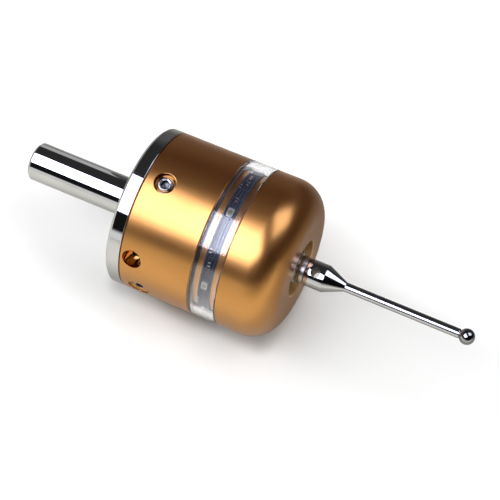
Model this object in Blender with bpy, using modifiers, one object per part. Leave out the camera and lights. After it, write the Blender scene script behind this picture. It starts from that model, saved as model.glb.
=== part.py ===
"""Three-dimensional edge finder: a touch probe that a milling machine holds by its straight shank.

The tool is modelled upright, with its axis on the local Z of the empty tool_axis and station zero
on the back face of the flange, where the shank begins. That empty then lays it on its side, so that
in the world the tool axis runs along +X, shank to -X and stylus to +X, and the round body rests on
the ground plane. Every length is in metres. An angle about the tool axis counts from world +Y
towards world +Z.

Inside the dome a hub with three radial pins sits on three pairs of balls. A push on the stylus from
any side tips the hub about the line through two of the three seats, and a push along the axis lifts
it off all three. One spring behind each pin puts the hub back.
"""

import math

import bmesh
import bpy
from mathutils import Vector

# Clearances that all pieces share
JOINT_GAP = 0.0001
FIT_GAP = 0.0001
SEAT_GAP = 0.0003
CUT_OVERRUN = 0.001
MERGE_DISTANCE = 0.00001

# Facets of a full turn: housing, inner pieces, stylus, screws and holes, pockets, and balls
BODY_FACETS = 48
INNER_FACETS = 32
STYLUS_FACETS = 24
HOLE_FACETS = 20
POCKET_FACETS = 12
BALL_FACETS = 14
SOFT_EDGE_ANGLE = math.radians(35)

# Housing
BODY_RADIUS = 0.02075
EDGE_BREAK = 0.0002

# Shank and flange, turned from one steel bar
SHANK_RADIUS = 0.005
SHANK_LENGTH = 0.0312
SHANK_CHAMFER = 0.0006
FLANGE_THICKNESS = 0.0038
FLANGE_CHAMFER = 0.0007
SPIGOT_LENGTH = 0.0077
SPIGOT_CHAMFER = 0.0005

# Screw that draws the flange against the shell, with its washer
DRAW_SCREW_RADIUS = 0.0025
DRAW_SCREW_REACH = 0.0065
DRAW_SCREW_TAP_MARGIN = 0.001
DRAW_HEAD_RADIUS = 0.00425
DRAW_HEAD_HEIGHT = 0.0035
DRAW_SOCKET_FLATS = 0.004
DRAW_SOCKET_DEPTH = 0.002
WASHER_RADIUS = 0.0055
WASHER_THICKNESS = 0.001

# Upper shell: socket for the flange's spigot, bulkhead, chamber for the cell, core for the ring
SHELL_LENGTH = 0.0186
SOCKET_WALL = 0.00445
CENTRING_PLAY = 0.0004
BULKHEAD_THICKNESS = 0.0033
CORE_WALL = 0.0015
PLATE_LEDGE = 0.0008
BOARD_LEDGE = 0.0012
THREAD_LENGTH = 0.0035

# Four set screws that centre the shell on the spigot, and the hole for a pin spanner
SET_SCREW_COUNT = 4
SET_SCREW_RADIUS = 0.002
SET_SCREW_INSET = 0.00504
SET_SCREW_ANGLE = math.radians(99.8)
SET_SCREW_SINK = 0.0006
SET_SCREW_SOCKET_FLATS = 0.002
SET_SCREW_SOCKET_DEPTH = 0.0016
SET_SCREW_CHAMFER = 0.0003
SET_HOLE_CHAMFER = 0.0006
SPANNER_HOLE_RADIUS = 0.00255
SPANNER_HOLE_INSET = 0.00334
SPANNER_HOLE_ANGLE = math.radians(159.3)

# Clear ring over the lamps
CLEAR_RING_LENGTH = 0.0073
CLEAR_RING_WALL = 0.00185

# Flexible strip with its lamps, wrapped round the core
STRIP_WIDTH = 0.0032
STRIP_THICKNESS = 0.00025
STRIP_END_GAP = 0.0012
STRIP_END_ANGLE = math.radians(310)
LEAD_OPENING_WIDTH = 0.0024
LEAD_OPENING_LENGTH = 0.0014
LAMP_COUNT = 6
LAMP_ANGLE = math.radians(100)
LAMP_LENGTH = 0.0022
LAMP_WIDTH = 0.0016
LAMP_HEIGHT = 0.00035
LAMP_EDGE = 0.0001
LAMP_CLEARANCE = 0.0002

# Circuit board, cell, its holder and its contact leaf, stacked in the chamber
BOARD_CLEARANCE = 0.0014
BOARD_THICKNESS = 0.001
BOARD_NOTCH_RADIUS = 0.0016
CELL_THICKNESS = 0.0032
CELL_EDGE = 0.0005
HOLDER_WALL = 0.0016
HOLDER_FLOOR = 0.0006
HOLDER_NOTCH_WIDTH = 0.009
LEAF_WIDTH = 0.004
LEAF_THICKNESS = 0.0003
LEAF_INSET = 0.0028

# Spring plate, with a peg inside each spring
PLATE_CLEARANCE = 0.0005
PLATE_THICKNESS = 0.0012
PLATE_HOLE_RADIUS = 0.003
PEG_RADIUS = 0.0009
PEG_HEIGHT = 0.0006

# Dome shell: round shoulder, flat front, mouth for the stylus holder
DOME_LENGTH = 0.0139
DOME_SHOULDER_RADIUS = 0.0083
DOME_WALL = 0.0022
MOUTH_RADIUS = 0.00737
MOUTH_CHAMFER = 0.0002
SHOULDER_FACETS = 8

# Seat ring with its three ball pairs and three screws
SEAT_THICKNESS = 0.0032
SEAT_SETBACK = 0.00023
SEAT_INNER_RIM = 0.0022
SEAT_OUTER_RIM = 0.003
SEAT_EDGE = 0.0006
PIN_COUNT = 3
FIRST_PIN_ANGLE = math.radians(90)
CONTACT_BALL_RADIUS = 0.0015
CONTACT_BALL_SPACING = 0.0039
CONTACT_BALL_PROUD = 0.0002
SEAT_SCREW_RADIUS = 0.001
SEAT_SCREW_HEAD_RADIUS = 0.0018
SEAT_SCREW_HEAD_HEIGHT = 0.0012
SEAT_SCREW_REACH = 0.0013
SEAT_SCREW_SLOT_WIDTH = 0.0005
SEAT_SCREW_SLOT_DEPTH = 0.0005

# Hub and its radial pins
HUB_THICKNESS = 0.0034
HUB_EDGE = 0.0004
HUB_TO_SPRING = 0.0008
PIN_RADIUS = 0.00125
PIN_ROOT_WALL = 0.0008
PIN_OVERHANG = 0.0018
PIN_EDGE = 0.0003

# Return springs
SPRING_RADIUS = 0.0016
SPRING_WIRE_RADIUS = 0.0002
SPRING_TURNS = 4
SPRING_POINTS_PER_TURN = 8
SPRING_INSET = 0.0014

# Stylus holder
HOLDER_STUD_RADIUS = 0.0024
HOLDER_STUD_LENGTH = 0.0032
HOLDER_BOSS_SHOULDER = 0.0005
HOLDER_BOSS_RECESS = 0.0006
HOLDER_COLLAR_LENGTH = 0.00215
HOLDER_GROOVE_WIDTH = 0.0003
HOLDER_GROOVE_DEPTH = 0.0004

# Stylus: threaded stud, base with a cross hole, cone, stem and ball
STYLUS_STUD_RADIUS = 0.0019
STYLUS_STUD_LENGTH = 0.0045
STYLUS_BASE_RADIUS = 0.0035
STYLUS_BASE_LENGTH = 0.005
STYLUS_BASE_CHAMFER = 0.00015
STYLUS_CONE_LENGTH = 0.00535
STYLUS_STEM_RADIUS = 0.001125
STYLUS_STEM_LENGTH = 0.03182
STYLUS_BALL_RADIUS = 0.002
STYLUS_BALL_SOCKET = 0.0009
CROSS_HOLE_RADIUS = 0.00125
CROSS_HOLE_OFFSET = 0.0026
CROSS_HOLE_ANGLE = math.radians(111)

# Stations along the tool axis, worked out from the sizes above
SHELL_REAR = FLANGE_THICKNESS + JOINT_GAP
SHELL_FRONT = SHELL_REAR + SHELL_LENGTH
SPIGOT_FRONT = FLANGE_THICKNESS + SPIGOT_LENGTH
BULKHEAD_REAR = SPIGOT_FRONT + SEAT_GAP
BULKHEAD_FRONT = BULKHEAD_REAR + BULKHEAD_THICKNESS
WASHER_REAR = BULKHEAD_FRONT + JOINT_GAP
DRAW_HEAD_REAR = WASHER_REAR + WASHER_THICKNESS + JOINT_GAP
BOARD_REAR = DRAW_HEAD_REAR + DRAW_HEAD_HEIGHT + BOARD_CLEARANCE
BOARD_FRONT = BOARD_REAR + BOARD_THICKNESS
HOLDER_REAR = BOARD_FRONT + JOINT_GAP
CELL_REAR = HOLDER_REAR + HOLDER_FLOOR + JOINT_GAP
CELL_FRONT = CELL_REAR + CELL_THICKNESS
LEAF_REAR = CELL_FRONT + JOINT_GAP
PLATE_REAR = LEAF_REAR + LEAF_THICKNESS + PLATE_CLEARANCE
PLATE_FRONT = PLATE_REAR + PLATE_THICKNESS
RING_REAR = SHELL_FRONT + JOINT_GAP
RING_FRONT = RING_REAR + CLEAR_RING_LENGTH
RING_MIDDLE = (RING_REAR + RING_FRONT) / 2
DOME_REAR = RING_FRONT + JOINT_GAP
DOME_FRONT = DOME_REAR + DOME_LENGTH
DOME_INNER_FRONT = DOME_FRONT - DOME_WALL
CORE_FRONT = DOME_REAR + THREAD_LENGTH
SEAT_FRONT = DOME_INNER_FRONT - JOINT_GAP
SEAT_REAR = SEAT_FRONT - SEAT_THICKNESS
CONTACT_BALL_STATION = SEAT_REAR - CONTACT_BALL_PROUD
PIN_TO_BALL = PIN_RADIUS + CONTACT_BALL_RADIUS + SEAT_GAP
PIN_STATION = CONTACT_BALL_STATION - math.sqrt(PIN_TO_BALL**2 - (CONTACT_BALL_SPACING / 2) ** 2)
HUB_REAR = PIN_STATION - HUB_THICKNESS / 2
HUB_FRONT = PIN_STATION + HUB_THICKNESS / 2
BOSS_REAR = HUB_FRONT + JOINT_GAP
BOSS_FRONT = DOME_FRONT - HOLDER_BOSS_RECESS
COLLAR_FRONT = BOSS_FRONT + HOLDER_COLLAR_LENGTH
STYLUS_BASE_REAR = COLLAR_FRONT + JOINT_GAP
STYLUS_SHOULDER = STYLUS_BASE_REAR + STYLUS_BASE_LENGTH
STYLUS_CONE_FRONT = STYLUS_SHOULDER + STYLUS_CONE_LENGTH
BALL_STATION = STYLUS_CONE_FRONT + STYLUS_STEM_LENGTH
TOOL_FRONT = BALL_STATION + STYLUS_BALL_RADIUS
SET_SCREW_STATION = SHELL_REAR + SET_SCREW_INSET
SPANNER_HOLE_STATION = SHELL_REAR + SPANNER_HOLE_INSET

# Radii from the body inwards: spigot and socket, ring, lamps, strip, core, plate, board and cell
SOCKET_RADIUS = BODY_RADIUS - SOCKET_WALL
SPIGOT_RADIUS = SOCKET_RADIUS - CENTRING_PLAY
CLEAR_RING_INNER_RADIUS = BODY_RADIUS - CLEAR_RING_WALL
LAMP_SEAT_RADIUS = CLEAR_RING_INNER_RADIUS - LAMP_CLEARANCE - LAMP_HEIGHT
STRIP_OUTER_RADIUS = LAMP_SEAT_RADIUS - FIT_GAP
STRIP_INNER_RADIUS = STRIP_OUTER_RADIUS - STRIP_THICKNESS
CORE_RADIUS = STRIP_INNER_RADIUS - FIT_GAP
PLATE_BORE_RADIUS = CORE_RADIUS - CORE_WALL
PLATE_RADIUS = PLATE_BORE_RADIUS - SEAT_GAP
BOARD_BORE_RADIUS = PLATE_BORE_RADIUS - PLATE_LEDGE
BOARD_RADIUS = BOARD_BORE_RADIUS - SEAT_GAP
CHAMBER_RADIUS = BOARD_BORE_RADIUS - BOARD_LEDGE
LEAF_REACH = BOARD_RADIUS - LEAF_INSET
HOLDER_OUTER_RADIUS = LEAF_REACH - LEAF_THICKNESS - SEAT_GAP
HOLDER_INNER_RADIUS = HOLDER_OUTER_RADIUS - HOLDER_WALL
CELL_RADIUS = HOLDER_INNER_RADIUS - SEAT_GAP

# Radii from the mouth outwards: seat ring, ball pitch, pins, springs, and the dome's inner shoulder
SEAT_INNER_RADIUS = MOUTH_RADIUS + SEAT_SETBACK
SEAT_PITCH_RADIUS = SEAT_INNER_RADIUS + SEAT_INNER_RIM
SEAT_OUTER_RADIUS = SEAT_PITCH_RADIUS + SEAT_OUTER_RIM
PIN_REACH = SEAT_PITCH_RADIUS + PIN_OVERHANG
PIN_ROOT_RADIUS = HOLDER_STUD_RADIUS + PIN_ROOT_WALL
SPRING_PITCH_RADIUS = SEAT_PITCH_RADIUS - SPRING_INSET
HUB_RADIUS = SPRING_PITCH_RADIUS - SPRING_RADIUS - SPRING_WIRE_RADIUS - HUB_TO_SPRING
DOME_BORE_RADIUS = CORE_RADIUS + SEAT_GAP
DOME_INNER_FLAT_RADIUS = SEAT_OUTER_RADIUS - SEAT_EDGE
DOME_INNER_SHOULDER_RADIUS = DOME_BORE_RADIUS - DOME_INNER_FLAT_RADIUS

# Radii of the holder, which carries the stylus base flush
HOLDER_COLLAR_RADIUS = STYLUS_BASE_RADIUS
HOLDER_BOSS_RADIUS = HOLDER_COLLAR_RADIUS + HOLDER_BOSS_SHOULDER

# The body rests on one facet, and the origin is under the middle of the whole tool
AXIS_HEIGHT = BODY_RADIUS * math.cos(math.pi / BODY_FACETS)
AXIS_START = (SHANK_LENGTH - TOOL_FRONT) / 2


def new_collection(name):
    collection = bpy.data.collections.new(name)
    bpy.context.scene.collection.children.link(collection)
    return collection


def new_material(name, colour, roughness, metallic=0.0, alpha=1.0):
    material = bpy.data.materials.new(name)
    material.use_nodes = True
    shader = material.node_tree.nodes["Principled BSDF"]
    shader.inputs["Base Color"].default_value = (*colour, 1.0)
    shader.inputs["Roughness"].default_value = roughness
    shader.inputs["Metallic"].default_value = metallic
    shader.inputs["Alpha"].default_value = alpha
    return material


def new_empty(name, parent, place):
    """An empty at a place given in the tool frame, under a parent that is only shifted in it."""
    empty = bpy.data.objects.new(name, None)
    parts.objects.link(empty)
    empty["place"] = tuple(place)
    empty.parent = parent
    empty.location = Vector(place) - Vector(parent["place"])
    return empty


def around(radius, angle, station):
    """The point at this radius and angle about the tool axis, in the tool frame."""
    turn = angle + math.pi / 2
    return Vector((radius * math.cos(turn), radius * math.sin(turn), station))


def add_object(name, mesh, place=(0, 0, 0), rotation=(0, 0, 0), parent=None, material=None):
    """A new object at a place in the tool frame. Without a material it is a cutter."""
    carrier = parent or tool_axis
    obj = bpy.data.objects.new(name, mesh)
    (parts if material else cutters).objects.link(obj)
    obj.parent = carrier
    obj.location = Vector(place) - Vector(carrier["place"])
    obj.rotation_euler = rotation
    if material:
        mesh.materials.clear()
        mesh.materials.append(material)
    else:
        obj.hide_render = True
        obj.display_type = "WIRE"
    return obj


def shade_round(mesh):
    mesh.shade_smooth()
    mesh.set_sharp_from_angle(angle=SOFT_EDGE_ANGLE)


def turned_mesh(name, profile, facets, closed=False):
    """A mesh turned about Z from points (radius, station) that run down its outer side."""
    edges = [(i, i + 1) for i in range(len(profile) - 1)]
    if closed:
        edges.append((len(profile) - 1, 0))
    outline = bpy.data.meshes.new(name + "_outline")
    outline.from_pydata([(radius, 0, station) for radius, station in profile], edges, [])
    blank = bpy.data.objects.new(name + "_blank", outline)
    bpy.context.scene.collection.objects.link(blank)
    screw = blank.modifiers.new("turn", "SCREW")
    screw.steps = facets
    screw.render_steps = facets
    screw.use_merge_vertices = True
    screw.merge_threshold = MERGE_DISTANCE
    mesh = bpy.data.meshes.new_from_object(blank.evaluated_get(bpy.context.evaluated_depsgraph_get()))
    mesh.name = name
    bpy.data.objects.remove(blank)
    shade_round(mesh)
    return mesh


def turned(name, profile, material, facets, closed=False, parent=None):
    """A turned piece on the tool axis, with one facet square to the ground."""
    mesh = turned_mesh(name, profile, facets, closed)
    half_facet = math.pi / facets
    return add_object(name, mesh, rotation=(0, 0, half_facet), parent=parent, material=material)


def ring_profile(inner, outer, rear, front, chamfer=0.0):
    """A closed ring section, with its outer edges chamfered."""
    if not chamfer:
        return [(outer, front), (outer, rear), (inner, rear), (inner, front)]
    return [
        (outer - chamfer, front),
        (outer, front - chamfer),
        (outer, rear + chamfer),
        (outer - chamfer, rear),
        (inner, rear),
        (inner, front),
    ]


def arc(centre, radius, start, end, steps):
    """Points (radius, station) on an arc, its angles measured from straight out towards the front."""
    turns = [start + (end - start) * i / steps for i in range(steps + 1)]
    return [(centre[0] + radius * math.cos(t), centre[1] + radius * math.sin(t)) for t in turns]


def cone_mesh(name, radius_low, radius_high, low, high, facets):
    """A closed cylinder or cone on Z, from height low to height high."""
    mesh = bpy.data.meshes.new(name)
    shape = bmesh.new()
    bmesh.ops.create_cone(
        shape, cap_ends=True, segments=facets, radius1=radius_low, radius2=radius_high, depth=high - low
    )
    bmesh.ops.translate(shape, verts=shape.verts, vec=(0, 0, (low + high) / 2))
    shape.to_mesh(mesh)
    shape.free()
    shade_round(mesh)
    return mesh


def box_mesh(name, size):
    mesh = bpy.data.meshes.new(name)
    shape = bmesh.new()
    bmesh.ops.create_cube(shape, size=1)
    bmesh.ops.scale(shape, verts=shape.verts, vec=size)
    shape.to_mesh(mesh)
    shape.free()
    return mesh


def ball_mesh(name, radius, facets):
    mesh = bpy.data.meshes.new(name)
    shape = bmesh.new()
    bmesh.ops.create_uvsphere(shape, u_segments=facets, v_segments=facets // 2, radius=radius)
    shape.to_mesh(mesh)
    shape.free()
    mesh.shade_smooth()
    return mesh


def outward(angle):
    """The rotation that turns a mesh's +Z to point away from the tool axis at this angle."""
    return (0, math.pi / 2, angle + math.pi / 2)


def cut(obj, cutter):
    change = obj.modifiers.new(cutter.name, "BOOLEAN")
    change.operation = "DIFFERENCE"
    change.solver = "EXACT"
    change.object = cutter


def join(obj, piece):
    """Fuses a helper to an object of the same stock."""
    change = obj.modifiers.new(piece.name, "BOOLEAN")
    change.operation = "UNION"
    change.solver = "EXACT"
    change.object = piece


def socket_radius(flats):
    """The corner radius of a hexagon with this width across its flats."""
    return flats / math.sqrt(3)


def make_shank_flange():
    """Straight shank, flange and centring spigot, with a tapped hole for the draw screw."""
    profile = [
        (0, SPIGOT_FRONT),
        (SPIGOT_RADIUS - SPIGOT_CHAMFER, SPIGOT_FRONT),
        (SPIGOT_RADIUS, SPIGOT_FRONT - SPIGOT_CHAMFER),
        (SPIGOT_RADIUS, FLANGE_THICKNESS),
        (BODY_RADIUS - EDGE_BREAK, FLANGE_THICKNESS),
        (BODY_RADIUS, FLANGE_THICKNESS - EDGE_BREAK),
        (BODY_RADIUS, FLANGE_CHAMFER),
        (BODY_RADIUS - FLANGE_CHAMFER, 0),
        (SHANK_RADIUS, 0),
        (SHANK_RADIUS, SHANK_CHAMFER - SHANK_LENGTH),
        (SHANK_RADIUS - SHANK_CHAMFER, -SHANK_LENGTH),
        (0, -SHANK_LENGTH),
    ]
    piece = turned("shank_flange", profile, chrome_steel, BODY_FACETS)
    depth = SPIGOT_FRONT - DRAW_SCREW_REACH - DRAW_SCREW_TAP_MARGIN
    radius = DRAW_SCREW_RADIUS + FIT_GAP
    hole = cone_mesh("draw_hole", radius, radius, depth, SPIGOT_FRONT + CUT_OVERRUN, HOLE_FACETS)
    cut(piece, add_object("draw_hole", hole))


def make_draw_screw():
    """Cap screw through the bulkhead into the spigot, on a washer wider than its hole's play."""
    tip = SPIGOT_FRONT - DRAW_SCREW_REACH
    head_front = DRAW_HEAD_REAR + DRAW_HEAD_HEIGHT
    profile = [
        (0, head_front),
        (DRAW_HEAD_RADIUS - EDGE_BREAK, head_front),
        (DRAW_HEAD_RADIUS, head_front - EDGE_BREAK),
        (DRAW_HEAD_RADIUS, DRAW_HEAD_REAR),
        (DRAW_SCREW_RADIUS, DRAW_HEAD_REAR),
        (DRAW_SCREW_RADIUS, tip + EDGE_BREAK),
        (DRAW_SCREW_RADIUS - EDGE_BREAK, tip),
        (0, tip),
    ]
    screw = turned("draw_screw", profile, plain_steel, HOLE_FACETS)
    corner = socket_radius(DRAW_SOCKET_FLATS)
    low = head_front - DRAW_SOCKET_DEPTH
    socket = cone_mesh("draw_socket", corner, corner, low, head_front + CUT_OVERRUN, 6)
    cut(screw, add_object("draw_socket", socket))
    washer_front = WASHER_REAR + WASHER_THICKNESS
    bore = DRAW_SCREW_RADIUS + FIT_GAP
    turned(
        "draw_washer",
        ring_profile(bore, WASHER_RADIUS, WASHER_REAR, washer_front),
        plain_steel,
        HOLE_FACETS,
        closed=True,
    )


def make_upper_shell():
    """Gold shell: spigot socket at the rear, bulkhead, stepped chamber and a thin core in front."""
    board_ledge = BOARD_REAR - JOINT_GAP
    plate_ledge = PLATE_REAR - JOINT_GAP
    draw_hole = DRAW_SCREW_RADIUS + CENTRING_PLAY + FIT_GAP
    profile = [
        (CORE_RADIUS - EDGE_BREAK, CORE_FRONT),
        (CORE_RADIUS, CORE_FRONT - EDGE_BREAK),
        (CORE_RADIUS, SHELL_FRONT),
        (BODY_RADIUS - EDGE_BREAK, SHELL_FRONT),
        (BODY_RADIUS, SHELL_FRONT - EDGE_BREAK),
        (BODY_RADIUS, SHELL_REAR + EDGE_BREAK),
        (BODY_RADIUS - EDGE_BREAK, SHELL_REAR),
        (SOCKET_RADIUS, SHELL_REAR),
        (SOCKET_RADIUS, BULKHEAD_REAR),
        (draw_hole, BULKHEAD_REAR),
        (draw_hole, BULKHEAD_FRONT),
        (CHAMBER_RADIUS, BULKHEAD_FRONT),
        (CHAMBER_RADIUS, board_ledge),
        (BOARD_BORE_RADIUS, board_ledge),
        (BOARD_BORE_RADIUS, plate_ledge),
        (PLATE_BORE_RADIUS, plate_ledge),
        (PLATE_BORE_RADIUS, CORE_FRONT),
    ]
    shell = turned("upper_shell", profile, gold_anodised, BODY_FACETS, closed=True)
    low = SOCKET_RADIUS - CUT_OVERRUN
    high = BODY_RADIUS + CUT_OVERRUN
    radius = SET_SCREW_RADIUS + FIT_GAP
    profile = [
        (0, high),
        (radius + SET_HOLE_CHAMFER + CUT_OVERRUN, high),
        (radius, BODY_RADIUS - SET_HOLE_CHAMFER),
        (radius, low),
        (0, low),
    ]
    tapped = turned_mesh("set_hole", profile, HOLE_FACETS)
    for i in range(SET_SCREW_COUNT):
        place = (0, 0, SET_SCREW_STATION)
        cut(shell, add_object(f"set_hole_{i + 1}", tapped, place, outward(set_screw_angle(i))))
    spanner = cone_mesh("spanner_hole", SPANNER_HOLE_RADIUS, SPANNER_HOLE_RADIUS, low, high, HOLE_FACETS)
    place = (0, 0, SPANNER_HOLE_STATION)
    cut(shell, add_object("spanner_hole", spanner, place, outward(SPANNER_HOLE_ANGLE)))
    depth = 2 * (CORE_RADIUS - BOARD_BORE_RADIUS + CUT_OVERRUN)
    opening = box_mesh("lead_opening", (LEAD_OPENING_WIDTH, depth, LEAD_OPENING_LENGTH))
    place = around(CORE_RADIUS, STRIP_END_ANGLE, RING_MIDDLE)
    cut(shell, add_object("lead_opening", opening, place, (0, 0, STRIP_END_ANGLE)))


def set_screw_angle(index):
    return SET_SCREW_ANGLE + index * math.tau / SET_SCREW_COUNT


def make_centring_screws():
    """Set screws with hexagon sockets, from the spigot's surface to just under the shell's."""
    low = SPIGOT_RADIUS + SEAT_GAP
    high = BODY_RADIUS - SET_SCREW_SINK
    profile = [
        (0, high),
        (SET_SCREW_RADIUS - SET_SCREW_CHAMFER, high),
        (SET_SCREW_RADIUS, high - SET_SCREW_CHAMFER),
        (SET_SCREW_RADIUS, low + SET_SCREW_CHAMFER),
        (SET_SCREW_RADIUS - SET_SCREW_CHAMFER, low),
        (0, low),
    ]
    corner = socket_radius(SET_SCREW_SOCKET_FLATS)
    bottom = high - SET_SCREW_SOCKET_DEPTH
    socket = cone_mesh("set_socket", corner, corner, bottom, high + CUT_OVERRUN, 6)
    for i in range(SET_SCREW_COUNT):
        name = f"centring_screw_{i + 1}"
        place = (0, 0, SET_SCREW_STATION)
        turn = outward(set_screw_angle(i))
        screw = add_object(
            name, turned_mesh(name, profile, HOLE_FACETS), place, turn, material=plain_steel
        )
        cut(screw, add_object(f"set_socket_{i + 1}", socket, place, turn))


def make_clear_ring():
    turned(
        "clear_ring",
        ring_profile(CLEAR_RING_INNER_RADIUS, BODY_RADIUS, RING_REAR, RING_FRONT, EDGE_BREAK),
        clear_acrylic,
        BODY_FACETS,
        closed=True,
    )


def make_lamp_strip():
    """Flexible board round the core, open where its ends meet, with lamps at even steps."""
    rear = RING_MIDDLE - STRIP_WIDTH / 2
    front = RING_MIDDLE + STRIP_WIDTH / 2
    strip = turned(
        "lamp_strip",
        ring_profile(STRIP_INNER_RADIUS, STRIP_OUTER_RADIUS, rear, front),
        flex_board,
        BODY_FACETS,
        closed=True,
    )
    opening = box_mesh("strip_opening", (STRIP_END_GAP, CORE_RADIUS / 2, STRIP_WIDTH + CUT_OVERRUN))
    place = around(STRIP_OUTER_RADIUS, STRIP_END_ANGLE, RING_MIDDLE)
    cut(strip, add_object("strip_opening", opening, place, (0, 0, STRIP_END_ANGLE)))
    lamp_radius = LAMP_SEAT_RADIUS + LAMP_HEIGHT / 2
    for i in range(LAMP_COUNT):
        angle = LAMP_ANGLE + i * math.tau / LAMP_COUNT
        mesh = box_mesh(f"lamp_{i + 1}", (LAMP_WIDTH, LAMP_LENGTH, LAMP_HEIGHT))
        place = around(lamp_radius, angle, RING_MIDDLE)
        lamp = add_object(f"lamp_{i + 1}", mesh, place, outward(angle), material=lamp_resin)
        edge = lamp.modifiers.new("edge", "BEVEL")
        edge.width = LAMP_EDGE
        edge.segments = 1


def make_circuit_board():
    """Round board on its ledge in the chamber, notched at the edge for the leads."""
    board = turned(
        "circuit_board",
        [(0, BOARD_FRONT), (BOARD_RADIUS, BOARD_FRONT), (BOARD_RADIUS, BOARD_REAR), (0, BOARD_REAR)],
        board_laminate,
        INNER_FACETS,
    )
    notch = cone_mesh(
        "board_notch",
        BOARD_NOTCH_RADIUS,
        BOARD_NOTCH_RADIUS,
        BOARD_REAR - CUT_OVERRUN,
        BOARD_FRONT + CUT_OVERRUN,
        HOLE_FACETS,
    )
    cut(board, add_object("board_notch", notch, around(BOARD_RADIUS, STRIP_END_ANGLE, 0)))


def make_cell():
    """Coin cell in a moulded holder, under a bent contact leaf that stands on the board."""
    profile = [
        (0, CELL_FRONT),
        (CELL_RADIUS - CELL_EDGE, CELL_FRONT),
        (CELL_RADIUS, CELL_FRONT - CELL_EDGE),
        (CELL_RADIUS, CELL_REAR),
        (0, CELL_REAR),
    ]
    turned("coin_cell", profile, cell_can, INNER_FACETS)
    floor = HOLDER_REAR + HOLDER_FLOOR
    profile = [
        (0, floor),
        (HOLDER_INNER_RADIUS, floor),
        (HOLDER_INNER_RADIUS, CELL_FRONT),
        (HOLDER_OUTER_RADIUS, CELL_FRONT),
        (HOLDER_OUTER_RADIUS, HOLDER_REAR),
        (0, HOLDER_REAR),
    ]
    holder = turned("cell_holder", profile, moulded_plastic, INNER_FACETS)
    high = CELL_FRONT + CUT_OVERRUN
    notch = box_mesh("holder_notch", (HOLDER_NOTCH_WIDTH, HOLDER_OUTER_RADIUS, high - floor))
    place = (0, HOLDER_OUTER_RADIUS, (floor + high) / 2)
    cut(holder, add_object("holder_notch", notch, place))


def make_contact_leaf():
    """Sprung strip bent over the cell, its two legs outside the holder and its feet at the board."""
    foot = BOARD_FRONT + JOINT_GAP
    top = LEAF_REAR + LEAF_THICKNESS
    side = LEAF_WIDTH / 2
    bends = [(-LEAF_REACH, foot), (-LEAF_REACH, top), (LEAF_REACH, top), (LEAF_REACH, foot)]
    points = [(x, y, z) for y in (-side, side) for x, z in bends]
    faces = [(i, i + 1, i + 5, i + 4) for i in range(len(bends) - 1)]
    mesh = bpy.data.meshes.new("contact_leaf")
    mesh.from_pydata(points, [], faces)
    leaf = add_object("contact_leaf", mesh, material=plain_steel)
    wall = leaf.modifiers.new("wall", "SOLIDIFY")
    wall.thickness = LEAF_THICKNESS
    wall.offset = -1
    wall.use_even_offset = True


def make_spring_plate():
    """Plate on the core's inner ledge, with one peg for each return spring."""
    plate = turned(
        "spring_plate",
        ring_profile(PLATE_HOLE_RADIUS, PLATE_RADIUS, PLATE_REAR, PLATE_FRONT),
        plain_steel,
        INNER_FACETS,
        closed=True,
    )
    peg = cone_mesh(
        "peg",
        PEG_RADIUS,
        PEG_RADIUS,
        PLATE_REAR + PLATE_THICKNESS / 2,
        PLATE_FRONT + PEG_HEIGHT,
        POCKET_FACETS,
    )
    for i in range(PIN_COUNT):
        join(plate, add_object(f"peg_{i + 1}", peg, around(SPRING_PITCH_RADIUS, pin_angle(i), 0)))


def make_dome_shell():
    """Gold front shell: threaded skirt over the core, round shoulder, flat front and mouth."""
    outer_centre = (BODY_RADIUS - DOME_SHOULDER_RADIUS, DOME_FRONT - DOME_SHOULDER_RADIUS)
    inner_centre = (DOME_INNER_FLAT_RADIUS, DOME_INNER_FRONT - DOME_INNER_SHOULDER_RADIUS)
    quarter = math.pi / 2
    outside = arc(outer_centre, DOME_SHOULDER_RADIUS, quarter, 0, SHOULDER_FACETS)
    inside = arc(inner_centre, DOME_INNER_SHOULDER_RADIUS, 0, quarter, SHOULDER_FACETS // 2)
    profile = [
        (MOUTH_RADIUS, DOME_FRONT - MOUTH_CHAMFER),
        (MOUTH_RADIUS + MOUTH_CHAMFER, DOME_FRONT),
        *outside,
        (BODY_RADIUS, DOME_REAR + EDGE_BREAK),
        (BODY_RADIUS - EDGE_BREAK, DOME_REAR),
        (DOME_BORE_RADIUS, DOME_REAR),
        *inside,
        (MOUTH_RADIUS, DOME_INNER_FRONT),
    ]
    dome = turned("dome_shell", profile, gold_anodised, BODY_FACETS, closed=True)
    radius = SEAT_SCREW_RADIUS + FIT_GAP
    depth = SEAT_SCREW_REACH + FIT_GAP
    hole = cone_mesh(
        "dome_tapping",
        radius,
        radius,
        DOME_INNER_FRONT - CUT_OVERRUN,
        DOME_INNER_FRONT + depth,
        POCKET_FACETS,
    )
    for i in range(PIN_COUNT):
        place = around(SEAT_PITCH_RADIUS, seat_screw_angle(i), 0)
        cut(dome, add_object(f"dome_tapping_{i + 1}", hole, place))


def pin_angle(index):
    return FIRST_PIN_ANGLE + index * math.tau / PIN_COUNT


def seat_screw_angle(index):
    """Each screw stands halfway between two ball pairs."""
    return pin_angle(index) + math.pi / PIN_COUNT


def contact_ball_place(index, side):
    """The centre of one ball: side is -1 or 1, across its pin."""
    middle = around(SEAT_PITCH_RADIUS, pin_angle(index), CONTACT_BALL_STATION)
    across = around(CONTACT_BALL_SPACING / 2, pin_angle(index) + math.pi / 2, 0)
    return middle + side * across


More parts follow.
